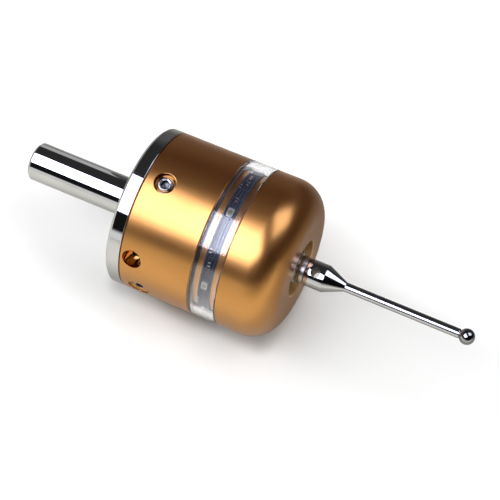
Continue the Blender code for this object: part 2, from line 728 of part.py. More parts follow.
def make_seat_ring():
    """Insulating ring behind the front wall, with a pocket for each ball and sunk screw holes."""
    ring = turned(
        "seat_ring",
        ring_profile(SEAT_INNER_RADIUS, SEAT_OUTER_RADIUS, SEAT_REAR, SEAT_FRONT, SEAT_EDGE),
        moulded_plastic,
        INNER_FACETS,
        closed=True,
    )
    pocket_radius = CONTACT_BALL_RADIUS + FIT_GAP
    pocket_front = CONTACT_BALL_RADIUS + FIT_GAP
    pocket_rear = -CONTACT_BALL_PROUD - CUT_OVERRUN
    pocket = cone_mesh("pocket", pocket_radius, pocket_radius, pocket_rear, pocket_front, POCKET_FACETS)
    for i in range(PIN_COUNT):
        for j, side in enumerate((-1, 1)):
            number = 2 * i + j + 1
            place = contact_ball_place(i, side)
            cut(ring, add_object(f"pocket_{number}", pocket, place))
            mesh = ball_mesh(f"contact_ball_{number}", CONTACT_BALL_RADIUS, BALL_FACETS)
            add_object(f"contact_ball_{number}", mesh, place, material=ball_steel)
    head_floor = SEAT_REAR + SEAT_SCREW_HEAD_HEIGHT + FIT_GAP
    head_radius = SEAT_SCREW_HEAD_RADIUS + FIT_GAP
    shank_radius = SEAT_SCREW_RADIUS + FIT_GAP
    head = cone_mesh(
        "head_pocket", head_radius, head_radius, SEAT_REAR - CUT_OVERRUN, head_floor, POCKET_FACETS
    )
    shank = cone_mesh(
        "shank_hole", shank_radius, shank_radius, SEAT_REAR, SEAT_FRONT + CUT_OVERRUN, POCKET_FACETS
    )
    for i in range(PIN_COUNT):
        place = around(SEAT_PITCH_RADIUS, seat_screw_angle(i), 0)
        cut(ring, add_object(f"head_pocket_{i + 1}", head, place))
        cut(ring, add_object(f"shank_hole_{i + 1}", shank, place))


def make_seat_screws():
    """Slotted cheese-head screws that hold the seat ring to the dome's front wall."""
    tip = DOME_INNER_FRONT + SEAT_SCREW_REACH
    head_front = SEAT_REAR + SEAT_SCREW_HEAD_HEIGHT
    profile = [
        (0, tip),
        (SEAT_SCREW_RADIUS, tip),
        (SEAT_SCREW_RADIUS, head_front),
        (SEAT_SCREW_HEAD_RADIUS, head_front),
        (SEAT_SCREW_HEAD_RADIUS, SEAT_REAR),
        (0, SEAT_REAR),
    ]
    slot_length = 2 * SEAT_SCREW_HEAD_RADIUS + CUT_OVERRUN
    slot = box_mesh("slot", (slot_length, SEAT_SCREW_SLOT_WIDTH, 2 * SEAT_SCREW_SLOT_DEPTH))
    for i in range(PIN_COUNT):
        name = f"seat_screw_{i + 1}"
        angle = seat_screw_angle(i)
        place = around(SEAT_PITCH_RADIUS, angle, 0)
        mesh = turned_mesh(name, profile, POCKET_FACETS)
        screw = add_object(name, mesh, place, material=plain_steel)
        slot_place = around(SEAT_PITCH_RADIUS, angle, SEAT_REAR)
        cut(screw, add_object(f"slot_{i + 1}", slot, slot_place, (0, 0, angle)))


def tip_line_place(index):
    """The middle of the line through the other two seats, about which this pin's side lifts."""
    return around(-SEAT_PITCH_RADIUS / 2, pin_angle(index), PIN_STATION)


def make_springs():
    """Return springs, each standing on a plate peg and pressing on the back of its pin."""
    rear = PLATE_FRONT + SPRING_WIRE_RADIUS + FIT_GAP
    front = PIN_STATION - PIN_RADIUS - SEAT_GAP - SPRING_WIRE_RADIUS
    count = int(SPRING_TURNS * SPRING_POINTS_PER_TURN) + 1
    for i in range(PIN_COUNT):
        name = f"return_spring_{i + 1}"
        curve = bpy.data.curves.new(name, "CURVE")
        curve.dimensions = "3D"
        curve.bevel_depth = SPRING_WIRE_RADIUS
        curve.bevel_resolution = 1
        curve.use_fill_caps = True
        spline = curve.splines.new("POLY")
        spline.points.add(count - 1)
        for j in range(count):
            share = j / (count - 1)
            turn = share * SPRING_TURNS * math.tau
            height = rear + share * (front - rear) - PIN_STATION
            x = SPRING_RADIUS * math.cos(turn)
            y = SPRING_RADIUS * math.sin(turn)
            spline.points[j].co = (x, y, height, 1)
        place = around(SPRING_PITCH_RADIUS, pin_angle(i), PIN_STATION)
        add_object(name, curve, place, parent=tip_pivots[i], material=spring_wire)


def make_hub():
    """Hub with a centre hole for the holder's stud and a radial hole for each pin."""
    bore = HOLDER_STUD_RADIUS + FIT_GAP
    hub = turned(
        "hub",
        ring_profile(bore, HUB_RADIUS, HUB_REAR - PIN_STATION, HUB_FRONT - PIN_STATION, HUB_EDGE),
        plain_steel,
        STYLUS_FACETS,
        closed=True,
        parent=lift_axis,
    )
    hub.location.z += PIN_STATION
    radius = PIN_RADIUS + FIT_GAP
    hole = cone_mesh(
        "pin_hole", radius, radius, PIN_ROOT_RADIUS - FIT_GAP, HUB_RADIUS + CUT_OVERRUN, HOLE_FACETS
    )
    profile = [
        (0, PIN_REACH),
        (PIN_RADIUS - PIN_EDGE, PIN_REACH),
        (PIN_RADIUS, PIN_REACH - PIN_EDGE),
        (PIN_RADIUS, PIN_ROOT_RADIUS),
        (0, PIN_ROOT_RADIUS),
    ]
    centre = (0, 0, PIN_STATION)
    for i in range(PIN_COUNT):
        turn = outward(pin_angle(i))
        cut(hub, add_object(f"pin_hole_{i + 1}", hole, centre, turn, parent=lift_axis))
        name = f"contact_pin_{i + 1}"
        mesh = turned_mesh(name, profile, HOLE_FACETS)
        add_object(name, mesh, centre, turn, parent=lift_axis, material=ball_steel)


def make_stylus_holder():
    """Boss screwed into the hub, with a collar in the mouth that takes the stylus."""
    stud_rear = BOSS_REAR - HOLDER_STUD_LENGTH
    groove_front = BOSS_FRONT + HOLDER_GROOVE_WIDTH
    groove_radius = HOLDER_COLLAR_RADIUS - HOLDER_GROOVE_DEPTH
    bore = STYLUS_STUD_RADIUS + FIT_GAP
    bore_rear = COLLAR_FRONT - STYLUS_STUD_LENGTH - FIT_GAP
    profile = [
        (0, bore_rear),
        (bore, bore_rear),
        (bore, COLLAR_FRONT),
        (HOLDER_COLLAR_RADIUS - STYLUS_BASE_CHAMFER, COLLAR_FRONT),
        (HOLDER_COLLAR_RADIUS, COLLAR_FRONT - STYLUS_BASE_CHAMFER),
        (HOLDER_COLLAR_RADIUS, groove_front),
        (groove_radius, groove_front),
        (groove_radius, BOSS_FRONT),
        (HOLDER_BOSS_RADIUS - EDGE_BREAK, BOSS_FRONT),
        (HOLDER_BOSS_RADIUS, BOSS_FRONT - EDGE_BREAK),
        (HOLDER_BOSS_RADIUS, BOSS_REAR),
        (HOLDER_STUD_RADIUS, BOSS_REAR),
        (HOLDER_STUD_RADIUS, stud_rear),
        (0, stud_rear),
    ]
    turned("stylus_holder", profile, plain_steel, STYLUS_FACETS, parent=lift_axis)


def make_stylus():
    """Stylus turned in one piece: stud, base with a cross hole for a key, cone and stem."""
    stem_front = BALL_STATION - STYLUS_BALL_SOCKET - FIT_GAP
    stud_rear = COLLAR_FRONT - STYLUS_STUD_LENGTH
    profile = [
        (0, stem_front),
        (STYLUS_STEM_RADIUS, stem_front),
        (STYLUS_STEM_RADIUS, STYLUS_CONE_FRONT),
        (STYLUS_BASE_RADIUS, STYLUS_SHOULDER),
        (STYLUS_BASE_RADIUS, STYLUS_BASE_REAR + STYLUS_BASE_CHAMFER),
        (STYLUS_BASE_RADIUS - STYLUS_BASE_CHAMFER, STYLUS_BASE_REAR),
        (STYLUS_STUD_RADIUS, STYLUS_BASE_REAR),
        (STYLUS_STUD_RADIUS, stud_rear),
        (0, stud_rear),
    ]
    stylus = turned("stylus", profile, plain_steel, STYLUS_FACETS, parent=lift_axis)
    reach = STYLUS_BASE_RADIUS + CUT_OVERRUN
    hole = cone_mesh("cross_hole", CROSS_HOLE_RADIUS, CROSS_HOLE_RADIUS, -reach, reach, HOLE_FACETS)
    place = (0, 0, STYLUS_BASE_REAR + CROSS_HOLE_OFFSET)
    cut(stylus, add_object("cross_hole", hole, place, outward(CROSS_HOLE_ANGLE), parent=lift_axis))
    ball = ball_mesh("stylus_ball", STYLUS_BALL_RADIUS, HOLE_FACETS)
    place = (0, 0, BALL_STATION)
    tip = add_object("stylus_ball", ball, place, parent=lift_axis, material=ball_steel)
    bore = STYLUS_STEM_RADIUS + FIT_GAP
    low = -STYLUS_BALL_RADIUS - CUT_OVERRUN
    socket = cone_mesh("ball_socket", bore, bore, low, -STYLUS_BALL_SOCKET, HOLE_FACETS)
    cut(tip, add_object("ball_socket", socket, place, parent=lift_axis))


for old in list(bpy.data.objects):
    bpy.data.objects.remove(old)

parts = new_collection("edge_finder")
cutters = new_collection("edge_finder_cutters")

chrome_steel = new_material("chrome_steel", (0.80, 0.80, 0.81), 0.08, metallic=1.0)
plain_steel = new_material("plain_steel", (0.62, 0.61, 0.59), 0.25, metallic=1.0)
ball_steel = new_material("ball_steel", (0.70, 0.70, 0.71), 0.06, metallic=1.0)
spring_wire = new_material("spring_wire", (0.55, 0.55, 0.54), 0.3, metallic=1.0)
gold_anodised = new_material("gold_anodised", (0.72, 0.42, 0.13), 0.3, metallic=1.0)
clear_acrylic = new_material("clear_acrylic", (0.95, 0.96, 0.96), 0.05, alpha=0.35)
flex_board = new_material("flex_board", (0.20, 0.24, 0.33), 0.45)
lamp_resin = new_material("lamp_resin", (0.90, 0.91, 0.95), 0.3)
board_laminate = new_material("board_laminate", (0.04, 0.22, 0.12), 0.5)
cell_can = new_material("cell_can", (0.70, 0.69, 0.66), 0.3, metallic=1.0)
moulded_plastic = new_material("moulded_plastic", (0.04, 0.04, 0.045), 0.5)

tool_axis = bpy.data.objects.new("tool_axis", None)
tool_axis["place"] = (0, 0, 0)
tool_axis.location = (AXIS_START, 0, AXIS_HEIGHT)
tool_axis.rotation_euler = (0, math.pi / 2, 0)
parts.objects.link(tool_axis)

# One pivot on each tip line, each carried by the one before, and the lift carried by the last
tip_pivots = []
for pin in range(PIN_COUNT):
    carrier = tip_pivots[-1] if tip_pivots else tool_axis
    tip_pivots.append(new_empty(f"tip_pivot_{pin + 1}", carrier, tip_line_place(pin)))
lift_axis = new_empty("lift_axis", tip_pivots[-1], (0, 0, 0))

make_shank_flange()
make_draw_screw()
make_upper_shell()
make_centring_screws()
make_clear_ring()
make_lamp_strip()
make_circuit_board()
make_cell()
make_contact_leaf()
make_spring_plate()
make_dome_shell()
make_seat_ring()
make_seat_screws()
make_springs()
make_hub()
make_stylus_holder()
make_stylus()
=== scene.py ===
import math

import bpy
from mathutils import Matrix, Vector


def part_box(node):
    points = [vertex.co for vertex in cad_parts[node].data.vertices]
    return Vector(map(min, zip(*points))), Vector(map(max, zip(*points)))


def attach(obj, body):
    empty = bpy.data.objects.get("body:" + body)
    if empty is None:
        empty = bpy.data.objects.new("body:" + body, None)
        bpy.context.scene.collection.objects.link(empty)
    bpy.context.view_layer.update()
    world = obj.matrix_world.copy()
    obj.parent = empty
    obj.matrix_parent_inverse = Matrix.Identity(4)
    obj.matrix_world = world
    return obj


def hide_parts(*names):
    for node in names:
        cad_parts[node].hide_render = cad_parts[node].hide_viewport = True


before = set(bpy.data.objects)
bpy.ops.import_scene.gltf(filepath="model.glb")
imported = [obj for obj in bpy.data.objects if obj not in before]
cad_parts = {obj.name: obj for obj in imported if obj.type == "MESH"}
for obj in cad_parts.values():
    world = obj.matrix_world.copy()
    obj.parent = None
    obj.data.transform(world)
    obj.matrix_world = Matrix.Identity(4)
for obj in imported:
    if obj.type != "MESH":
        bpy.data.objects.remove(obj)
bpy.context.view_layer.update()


# Shank and flange
# One steel bar, turned and chromed. A collet grips the straight shank, and the flange sits on the
# gold shell with a spigot inside it, which is tapped for the screw that draws the two together.
MM = 0.001
TURN_STEPS = 192
SMOOTH_ANGLE = math.radians(35)
EDGE_ANGLE = math.radians(15)
MERGE_DISTANCE = 0.001 * MM
AXIS_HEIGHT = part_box("clear_ring")[1].z / 2
BODY_RADIUS = AXIS_HEIGHT
FLANGE_CHAMFER = 0.7 * MM
FLANGE_THICKNESS = 3.8 * MM
FLANGE_EDGE = 0.12 * MM
SHANK_RADIUS = 5 * MM
SHANK_CHAMFER = 0.6 * MM
SHANK_ROOT = 0.25 * MM
SPIGOT_RADIUS = 15.9 * MM
SPIGOT_CHAMFER = 0.5 * MM
TAPPED_RADIUS = 2.6 * MM
TAPPED_DEPTH = 7.5 * MM
TAPPED_POINT_SHARE = 0.6
CHROME_COLOUR = (0.64, 0.64, 0.65, 1)
CHROME_DARK = (0.59, 0.59, 0.6, 1)


def span(node):
    """Where a CAD node starts and ends along the tool axis."""
    low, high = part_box(node)
    return low.x, high.x


def put_down(name):
    """Names the active object once its place is in its mesh."""
    obj = bpy.context.object
    bpy.ops.object.transform_apply(location=True, rotation=True, scale=True)
    obj.name = name
    obj.data.name = name
    return obj


def pick(obj):
    """Selects one object alone and makes it the active one."""
    bpy.ops.object.select_all(action="DESELECT")
    obj.select_set(True)
    bpy.context.view_layer.objects.active = obj


def spun(name, points, steps, centre, axis):
    """A line through points, drawn out from one vertex and spun once round an axis."""
    bpy.ops.object.select_all(action="DESELECT")
    bpy.ops.mesh.primitive_plane_add(size=MM, location=points[0])
    bpy.ops.object.mode_set(mode="EDIT")
    bpy.ops.mesh.merge(type="CENTER")
    for start, end in zip(points, points[1:]):
        bpy.ops.mesh.extrude_vertices_move(TRANSFORM_OT_translate={"value": end - start})
    bpy.ops.mesh.select_all(action="SELECT")
    bpy.ops.mesh.spin(steps=steps, angle=math.tau, center=centre, axis=axis)
    bpy.ops.mesh.select_all(action="SELECT")
    bpy.ops.mesh.remove_doubles(threshold=MERGE_DISTANCE)
    bpy.ops.mesh.normals_make_consistent(inside=False)
    bpy.ops.object.mode_set(mode="OBJECT")
    return put_down(name)


def turned(name, outline, steps=TURN_STEPS, closed=False):
    """A piece turned on the tool axis from (x, radius) points; a closed outline makes a ring."""
    points = [Vector((x, 0, AXIS_HEIGHT + radius)) for x, radius in outline]
    if closed:
        points.append(points[0])
    return spun(name, points, steps, (0, 0, AXIS_HEIGHT), (1, 0, 0))


def fillet(centre, radius, start, end, steps=6):
    """Outline points on an arc, from one angle to another; 0 points along the axis, 90 outwards."""
    angles = [math.radians(start + (end - start) * i / steps) for i in range(steps + 1)]
    x, height = centre
    return [(x + radius * math.cos(a), height + radius * math.sin(a)) for a in angles]


def smooth(obj):
    """Smooth shading, sharp at edges, with broad faces kept true beside bevels."""
    pick(obj)
    bpy.ops.object.shade_smooth_by_angle(angle=SMOOTH_ANGLE)
    weighted = obj.modifiers.new("normals", "WEIGHTED_NORMAL")
    weighted.mode = "FACE_AREA"
    weighted.weight = 50
    weighted.keep_sharp = True
    bpy.ops.object.modifier_apply(modifier="normals")


def dress(obj, material, body="housing", stands_for=()):
    """Shades a finished piece, gives it its material and ties it to the frame."""
    smooth(obj)
    if not obj.data.materials:
        obj.data.materials.append(material)
    for index, present in enumerate(obj.data.materials):
        if present is None:
            obj.data.materials[index] = material
    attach(obj, body)
    if stands_for:
        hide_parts(*stands_for)


def add_node(tree, kind, inputs=None, **settings):
    """A node with its settings; each input is given a value or another node's output."""
    node = tree.nodes.new(kind)
    for name, value in settings.items():
        setattr(node, name, value)
    for key, value in (inputs or {}).items():
        if isinstance(value, bpy.types.NodeSocket):
            tree.links.new(value, node.inputs[key])
        else:
            node.inputs[key].default_value = value
    return node


def new_group(name, inputs, outputs):
    """A node group with float inputs and outputs, its tree and its two end nodes."""
    tree = bpy.data.node_groups.new(name, "ShaderNodeTree")
    for socket in inputs:
        tree.interface.new_socket(name=socket, in_out="INPUT", socket_type="NodeSocketFloat")
    for socket in outputs:
        tree.interface.new_socket(name=socket, in_out="OUTPUT", socket_type="NodeSocketFloat")
    return tree, tree.nodes.new("NodeGroupInput"), tree.nodes.new("NodeGroupOutput")


def use_group(material, group, inputs):
    """A node group placed in a material, with its values."""
    return add_node(material.node_tree, "ShaderNodeGroup", node_tree=group, inputs=inputs)


def computed(tree, operation, first, second=0.0):
    """The result of a math node; each input is a number or another node's output."""
    node = add_node(tree, "ShaderNodeMath", {0: first, 1: second}, operation=operation)
    return node.outputs[0]


def ranged(tree, value, start, end, low=0.0, high=1.0, eased=False):
    """A value taken from one range to another and kept inside it, eased at both ends if asked."""
    node = add_node(
        tree,
        "ShaderNodeMapRange",
        {"Value": value, "From Min": start, "From Max": end, "To Min": low, "To Max": high},
        interpolation_type="SMOOTHSTEP" if eased else "LINEAR",
    )
    return node.outputs["Result"]


def new_material(name, colour, roughness, metallic=0.0):
    """A material with its Principled shader, both returned."""
    material = bpy.data.materials.new(name)
    material.use_nodes = True
    shader = material.node_tree.nodes["Principled BSDF"]
    shader.inputs["Base Color"].default_value = colour
    shader.inputs["Roughness"].default_value = roughness
    shader.inputs["Metallic"].default_value = metallic
    return material, shader


def vary(material, socket, mask, low, high):
    """Drives a shader's float input between two values by a mask."""
    tree = material.node_tree
    tree.links.new(ranged(tree, mask, 0.0, 1.0, low, high), socket)


def tint(material, shader, mask, dark, light):
    """Base colour between two colours by a mask."""
    mix = add_node(
        material.node_tree,
        "ShaderNodeMix",
        {"Factor": mask, 6: dark, 7: light},
        data_type="RGBA",
    )
    material.node_tree.links.new(mix.outputs[2], shader.inputs["Base Color"])


def emboss(material, shader, height, distance, strength=1.0):
    """Bump from a height, added to what the shader's normal already has."""
    bump = add_node(
        material.node_tree,
        "ShaderNodeBump",
        {"Height": height, "Distance": distance, "Strength": strength},
    )
    normal = shader.inputs["Normal"]
    if normal.is_linked:
        material.node_tree.links.new(normal.links[0].from_socket, bump.inputs["Normal"])
    material.node_tree.links.new(bump.outputs["Normal"], normal)


def turning_marks():
    """Node group: the fine rings that a turning tool leaves round the tool axis."""
    tree, given, result = new_group("turning_marks", ["Rings per metre"], ["Height", "Mask"])
    place = add_node(tree, "ShaderNodeTexCoord")
    apart = add_node(tree, "ShaderNodeSeparateXYZ", {0: place.outputs["Object"]})
    across = add_node(
        tree, "ShaderNodeCombineXYZ", {"X": apart.outputs["Y"], "Y": apart.outputs["Z"]}
    )
    centred = add_node(
        tree,
        "ShaderNodeVectorMath",
        {0: across.outputs[0], 1: (0, AXIS_HEIGHT, 0)},
        operation="SUBTRACT",
    )
    radius = add_node(tree, "ShaderNodeVectorMath", {0: centred.outputs[0]}, operation="LENGTH")
    rings = add_node(
        tree, "ShaderNodeCombineXYZ", {"X": apart.outputs["X"], "Y": radius.outputs["Value"]}
    )
    noise = add_node(
        tree,
        "ShaderNodeTexNoise",
        {"Vector": rings.outputs[0], "Scale": given.outputs[0], "Detail": 3.0, "Roughness": 0.7},
        noise_dimensions="2D",
    )
    tree.links.new(noise.outputs["Fac"], result.inputs["Height"])
    tree.links.new(ranged(tree, noise.outputs["Fac"], 0.35, 0.65), result.inputs["Mask"])
    return tree


def handling_marks():
    """Node group: soft smudges from fingers, and fine scratches that run every way."""
    tree, given, result = new_group("handling_marks", ["Size per metre"], ["Smudge", "Scratch"])
    place = add_node(tree, "ShaderNodeTexCoord")
    smudge = add_node(
        tree,
        "ShaderNodeTexNoise",
        {
            "Vector": place.outputs["Object"],
            "Scale": given.outputs[0],
            "Detail": 4.0,
            "Roughness": 0.6,
        },
    )
    tree.links.new(ranged(tree, smudge.outputs["Fac"], 0.4, 0.7), result.inputs["Smudge"])
    stretched = add_node(
        tree,
        "ShaderNodeMapping",
        {"Vector": place.outputs["Object"], "Rotation": (0.5, 0.7, 0.4), "Scale": (60, 2200, 2200)},
    )
    lines = add_node(
        tree, "ShaderNodeTexNoise", {"Vector": stretched.outputs[0], "Scale": 1.0, "Detail": 2.0}
    )
    tree.links.new(ranged(tree, lines.outputs["Fac"], 0.66, 0.74), result.inputs["Scratch"])
    return tree


turning_marks_group = turning_marks()
handling_marks_group = handling_marks()


def turned_metal(name, colour, dark, polish, rings, depth):
    """Turned metal: ring marks in the gloss and the bump, with smudges and a few fine scratches."""
    material, shader = new_material(name, colour, polish, metallic=1.0)
    marks = use_group(material, turning_marks_group, {"Rings per metre": rings})
    wear = use_group(material, handling_marks_group, {"Size per metre": 90.0})
    worn = computed(material.node_tree, "ADD", marks.outputs["Mask"], wear.outputs["Smudge"])
    vary(material, shader.inputs["Roughness"], worn, polish, polish * 1.9)
    tint(material, shader, wear.outputs["Smudge"], colour, dark)
    emboss(material, shader, marks.outputs["Height"], depth)
    emboss(material, shader, wear.outputs["Scratch"], depth * 0.5)
    return material


chrome = turned_metal(
    "chrome_on_steel", CHROME_COLOUR, CHROME_DARK, 0.025, 3200.0, 0.0003 * MM
)

shank_end, spigot_front = span("shank_flange")
shell_rear, core_front = span("upper_shell")
flange_front = shell_rear - 0.1 * MM
flange_back = flange_front - FLANGE_THICKNESS
tapped_end = spigot_front - TAPPED_DEPTH
steel = turned(
    "chromed_shank_and_flange",
    [
        (shank_end, 0),
        (shank_end, SHANK_RADIUS - SHANK_CHAMFER),
        (shank_end + SHANK_CHAMFER, SHANK_RADIUS),
        (flange_back - SHANK_ROOT, SHANK_RADIUS),
        (flange_back, SHANK_RADIUS + SHANK_ROOT),
        (flange_back, BODY_RADIUS - FLANGE_CHAMFER),
        (flange_back + FLANGE_CHAMFER, BODY_RADIUS),
        (flange_front - FLANGE_EDGE, BODY_RADIUS),
        (flange_front, BODY_RADIUS - FLANGE_EDGE),
        (flange_front, SPIGOT_RADIUS),
        (spigot_front - SPIGOT_CHAMFER, SPIGOT_RADIUS),
        (spigot_front, SPIGOT_RADIUS - SPIGOT_CHAMFER),
        (spigot_front, TAPPED_RADIUS),
        (tapped_end, TAPPED_RADIUS),
        (tapped_end - TAPPED_RADIUS * TAPPED_POINT_SHARE, 0),
    ],
)


def soften(obj, width, segments=3, angle=EDGE_ANGLE):
    """Rounds every sharp edge of a finished piece by the same small radius."""
    bevel = obj.modifiers.new("edges", "BEVEL")
    bevel.width = width
    bevel.segments = segments
    bevel.limit_method = "ANGLE"
    bevel.angle_limit = angle
    bevel.use_clamp_overlap = True
    pick(obj)
    bpy.ops.object.modifier_apply(modifier="edges")


soften(steel, 0.06 * MM)
dress(steel, chrome, stands_for=["shank_flange"])


# Upper shell
# Aluminium tube, turned, bead blasted and anodised gold. The spigot of the flange sits in its rear
# socket; four set screws centre it there, and the thin core in front carries the lamps and the ring.
GOLD_COLOUR = (0.65, 0.306, 0.074, 1)
GOLD_DARK = (0.605, 0.282, 0.066, 1)
# The holes' walls and chamfers get a darker gold: painted shade inside the holes.
GOLD_BORE_COLOUR = (0.5, 0.24, 0.05, 1)
GOLD_BORE_DARK = (0.42, 0.19, 0.04, 1)
REAR_EDGE = 0.3 * MM
FRONT_EDGE = 0.15 * MM
SOCKET_RADIUS = 16.3 * MM
CORE_RADIUS = 17.9 * MM
DRAW_HOLE_RADIUS = 3 * MM
CHAMBER_RADIUS = 14.4 * MM
BOARD_BORE_RADIUS = 15.6 * MM
PLATE_BORE_RADIUS = 16.4 * MM
BULKHEAD_THICKNESS = 3.3 * MM
SEAT_GAP = 0.3 * MM
LEDGE_GAP = 0.1 * MM
SET_HOLE_RADIUS = 2.1 * MM
SET_HOLE_CHAMFER = 0.6 * MM
SET_HOLE_STEP = 0.4 * MM
SET_HOLE_STEP_RADIUS = 2.8 * MM
SET_HOLE_STATION = 5.04 * MM
SET_SCREW_ANGLES = [99.8, 189.8, 279.8, 369.8]
SPANNER_HOLE_RADIUS = 2.55 * MM
SPANNER_HOLE_STATION = 3.34 * MM
SPANNER_HOLE_ANGLE = 159.3
LEAD_OPENING = (1.4 * MM, 2.4 * MM, 8 * MM)
STRIP_END_ANGLE = 310
HOLE_STEPS = 64


def blasted_grain():
    """Node group: the fine pitted grain that bead blasting leaves under anodising."""
    tree, given, result = new_group("blasted_grain", ["Grains per metre"], ["Height", "Mask"])
    place = add_node(tree, "ShaderNodeTexCoord")
    pits = add_node(
        tree,
        "ShaderNodeTexNoise",
        {"Vector": place.outputs["Object"], "Scale": given.outputs[0], "Detail": 2.0},
    )
    tree.links.new(pits.outputs["Fac"], result.inputs["Height"])
    tree.links.new(ranged(tree, pits.outputs["Fac"], 0.3, 0.7), result.inputs["Mask"])
    return tree


blasted_grain_group = blasted_grain()


def anodised(name, colour, dark, roughness, metallic=1.0):
    """Anodised aluminium over a blasted surface, with faint turning rings and handling smudges."""
    material, shader = new_material(name, colour, roughness, metallic)
    shader.inputs["Coat Weight"].default_value = 0.6
    shader.inputs["Coat Roughness"].default_value = roughness
    shader.inputs["Sheen Weight"].default_value = 0.04
    shader.inputs["Sheen Roughness"].default_value = 1.0
    shader.inputs["Sheen Tint"].default_value = (1.0, 0.1, 0.02, 1)
    grain = use_group(material, blasted_grain_group, {"Grains per metre": 9000.0})
    marks = use_group(material, turning_marks_group, {"Rings per metre": 2500.0})
    wear = use_group(material, handling_marks_group, {"Size per metre": 70.0})
    vary(material, shader.inputs["Roughness"], wear.outputs["Smudge"], roughness, roughness * 1.15)
    tint(material, shader, wear.outputs["Smudge"], colour, dark)
    emboss(material, shader, grain.outputs["Height"], 0.004 * MM, 0.6)
    emboss(material, shader, marks.outputs["Height"], 0.001 * MM, 0.6)
    return material


gold = anodised("gold_anodised", GOLD_COLOUR, GOLD_DARK, 0.28)
# Polished gold for the machined holes. The gloss is their finish; the colour, darker than the
# shell's, is painted shade.
gold_bore_painted_shade = anodised("gold_in_holes", GOLD_BORE_COLOUR, GOLD_BORE_DARK, 0.12)


def about_axis(obj, angle):
    """Turns a piece modelled on top of the tool, at 90 degrees, round to another angle."""
    pick(obj)
    obj.location = (0, 0, -AXIS_HEIGHT)
    bpy.ops.object.transform_apply(location=True, rotation=True, scale=True)
    obj.rotation_euler = (math.radians(angle - 90), 0, 0)
    obj.location = (0, 0, AXIS_HEIGHT)
    bpy.ops.object.transform_apply(location=True, rotation=True, scale=True)


def copied(obj, name):
    """A copy of a piece with a mesh of its own."""
    twin = obj.copy()
    twin.data = obj.data.copy()
    twin.name = name
    twin.data.name = name
    bpy.context.collection.objects.link(twin)
    return twin


def turned_outwards(name, x, outline, steps=HOLE_STEPS):
    """A piece turned on an upright axis at x, from (radius, height over the tool axis) points."""
    points = [Vector((x + radius, 0, AXIS_HEIGHT + height)) for radius, height in outline]
    return spun(name, points, steps, (x, 0, AXIS_HEIGHT), (0, 0, 1))


def cut(obj, cutter, finish=None):
    """Takes the cutter's shape out of a piece, leaving a finish of its own on the cut faces."""
    if finish:
        cutter.data.materials.append(finish)
    hole = obj.modifiers.new("hole", "BOOLEAN")
    hole.material_mode = "TRANSFER"
    hole.operation = "DIFFERENCE"
    hole.solver = "EXACT"
    hole.object = cutter
    pick(obj)
    bpy.ops.object.modifier_apply(modifier="hole")
    bpy.data.objects.remove(cutter)


ring_rear, ring_front = span("clear_ring")
shell_front = ring_rear - LEDGE_GAP
bulkhead_rear = spigot_front + SEAT_GAP
bulkhead_front = bulkhead_rear + BULKHEAD_THICKNESS
board_ledge = span("circuit_board")[0] - LEDGE_GAP
plate_ledge = span("spring_plate")[0] - LEDGE_GAP
shell = turned(
    "gold_upper_shell",
    [
        (core_front, CORE_RADIUS - FRONT_EDGE),
        (core_front - FRONT_EDGE, CORE_RADIUS),
        (shell_front, CORE_RADIUS),
        (shell_front, BODY_RADIUS - FRONT_EDGE),
        (shell_front - FRONT_EDGE, BODY_RADIUS),
        (shell_rear + REAR_EDGE, BODY_RADIUS),
        (shell_rear, BODY_RADIUS - REAR_EDGE),
        (shell_rear, SOCKET_RADIUS),
        (bulkhead_rear, SOCKET_RADIUS),
        (bulkhead_rear, DRAW_HOLE_RADIUS),
        (bulkhead_front, DRAW_HOLE_RADIUS),
        (bulkhead_front, CHAMBER_RADIUS),
        (board_ledge, CHAMBER_RADIUS),
        (board_ledge, BOARD_BORE_RADIUS),
        (plate_ledge, BOARD_BORE_RADIUS),
        (plate_ledge, PLATE_BORE_RADIUS),
        (core_front, PLATE_BORE_RADIUS),
    ],
    closed=True,
)
shell.data.materials.append(gold)
set_hole_x = shell_rear + SET_HOLE_STATION
overrun = MM
for angle in SET_SCREW_ANGLES:
    tapped = turned_outwards(
        "tapped_hole",
        set_hole_x,
        [
            (0, SOCKET_RADIUS - overrun),
            (SET_HOLE_RADIUS, SOCKET_RADIUS - overrun),
            (SET_HOLE_RADIUS, BODY_RADIUS - SET_HOLE_STEP - SET_HOLE_CHAMFER),
            (SET_HOLE_RADIUS + SET_HOLE_CHAMFER, BODY_RADIUS - SET_HOLE_STEP),
            (SET_HOLE_STEP_RADIUS, BODY_RADIUS - SET_HOLE_STEP),
            (SET_HOLE_STEP_RADIUS, BODY_RADIUS + overrun),
            (0, BODY_RADIUS + overrun),
        ],
    )
    about_axis(tapped, angle)
    cut(shell, tapped, gold_bore_painted_shade)
spanner_x = shell_rear + SPANNER_HOLE_STATION
spanner = turned_outwards(
    "spanner_hole",
    spanner_x,
    [
        (0, SOCKET_RADIUS - overrun),
        (SPANNER_HOLE_RADIUS, SOCKET_RADIUS - overrun),
        (SPANNER_HOLE_RADIUS, BODY_RADIUS + overrun),
        (0, BODY_RADIUS + overrun),
    ],
)
about_axis(spanner, SPANNER_HOLE_ANGLE)
cut(shell, spanner, gold_bore_painted_shade)
ring_middle = (ring_rear + ring_front) / 2
bpy.ops.object.select_all(action="DESELECT")
bpy.ops.mesh.primitive_cube_add(
    size=1, location=(ring_middle, 0, AXIS_HEIGHT + CORE_RADIUS), scale=LEAD_OPENING
)
opening = put_down("lead_opening")
about_axis(opening, STRIP_END_ANGLE)
cut(shell, opening)
soften(shell, 0.05 * MM)
dress(shell, gold, stands_for=["upper_shell"])


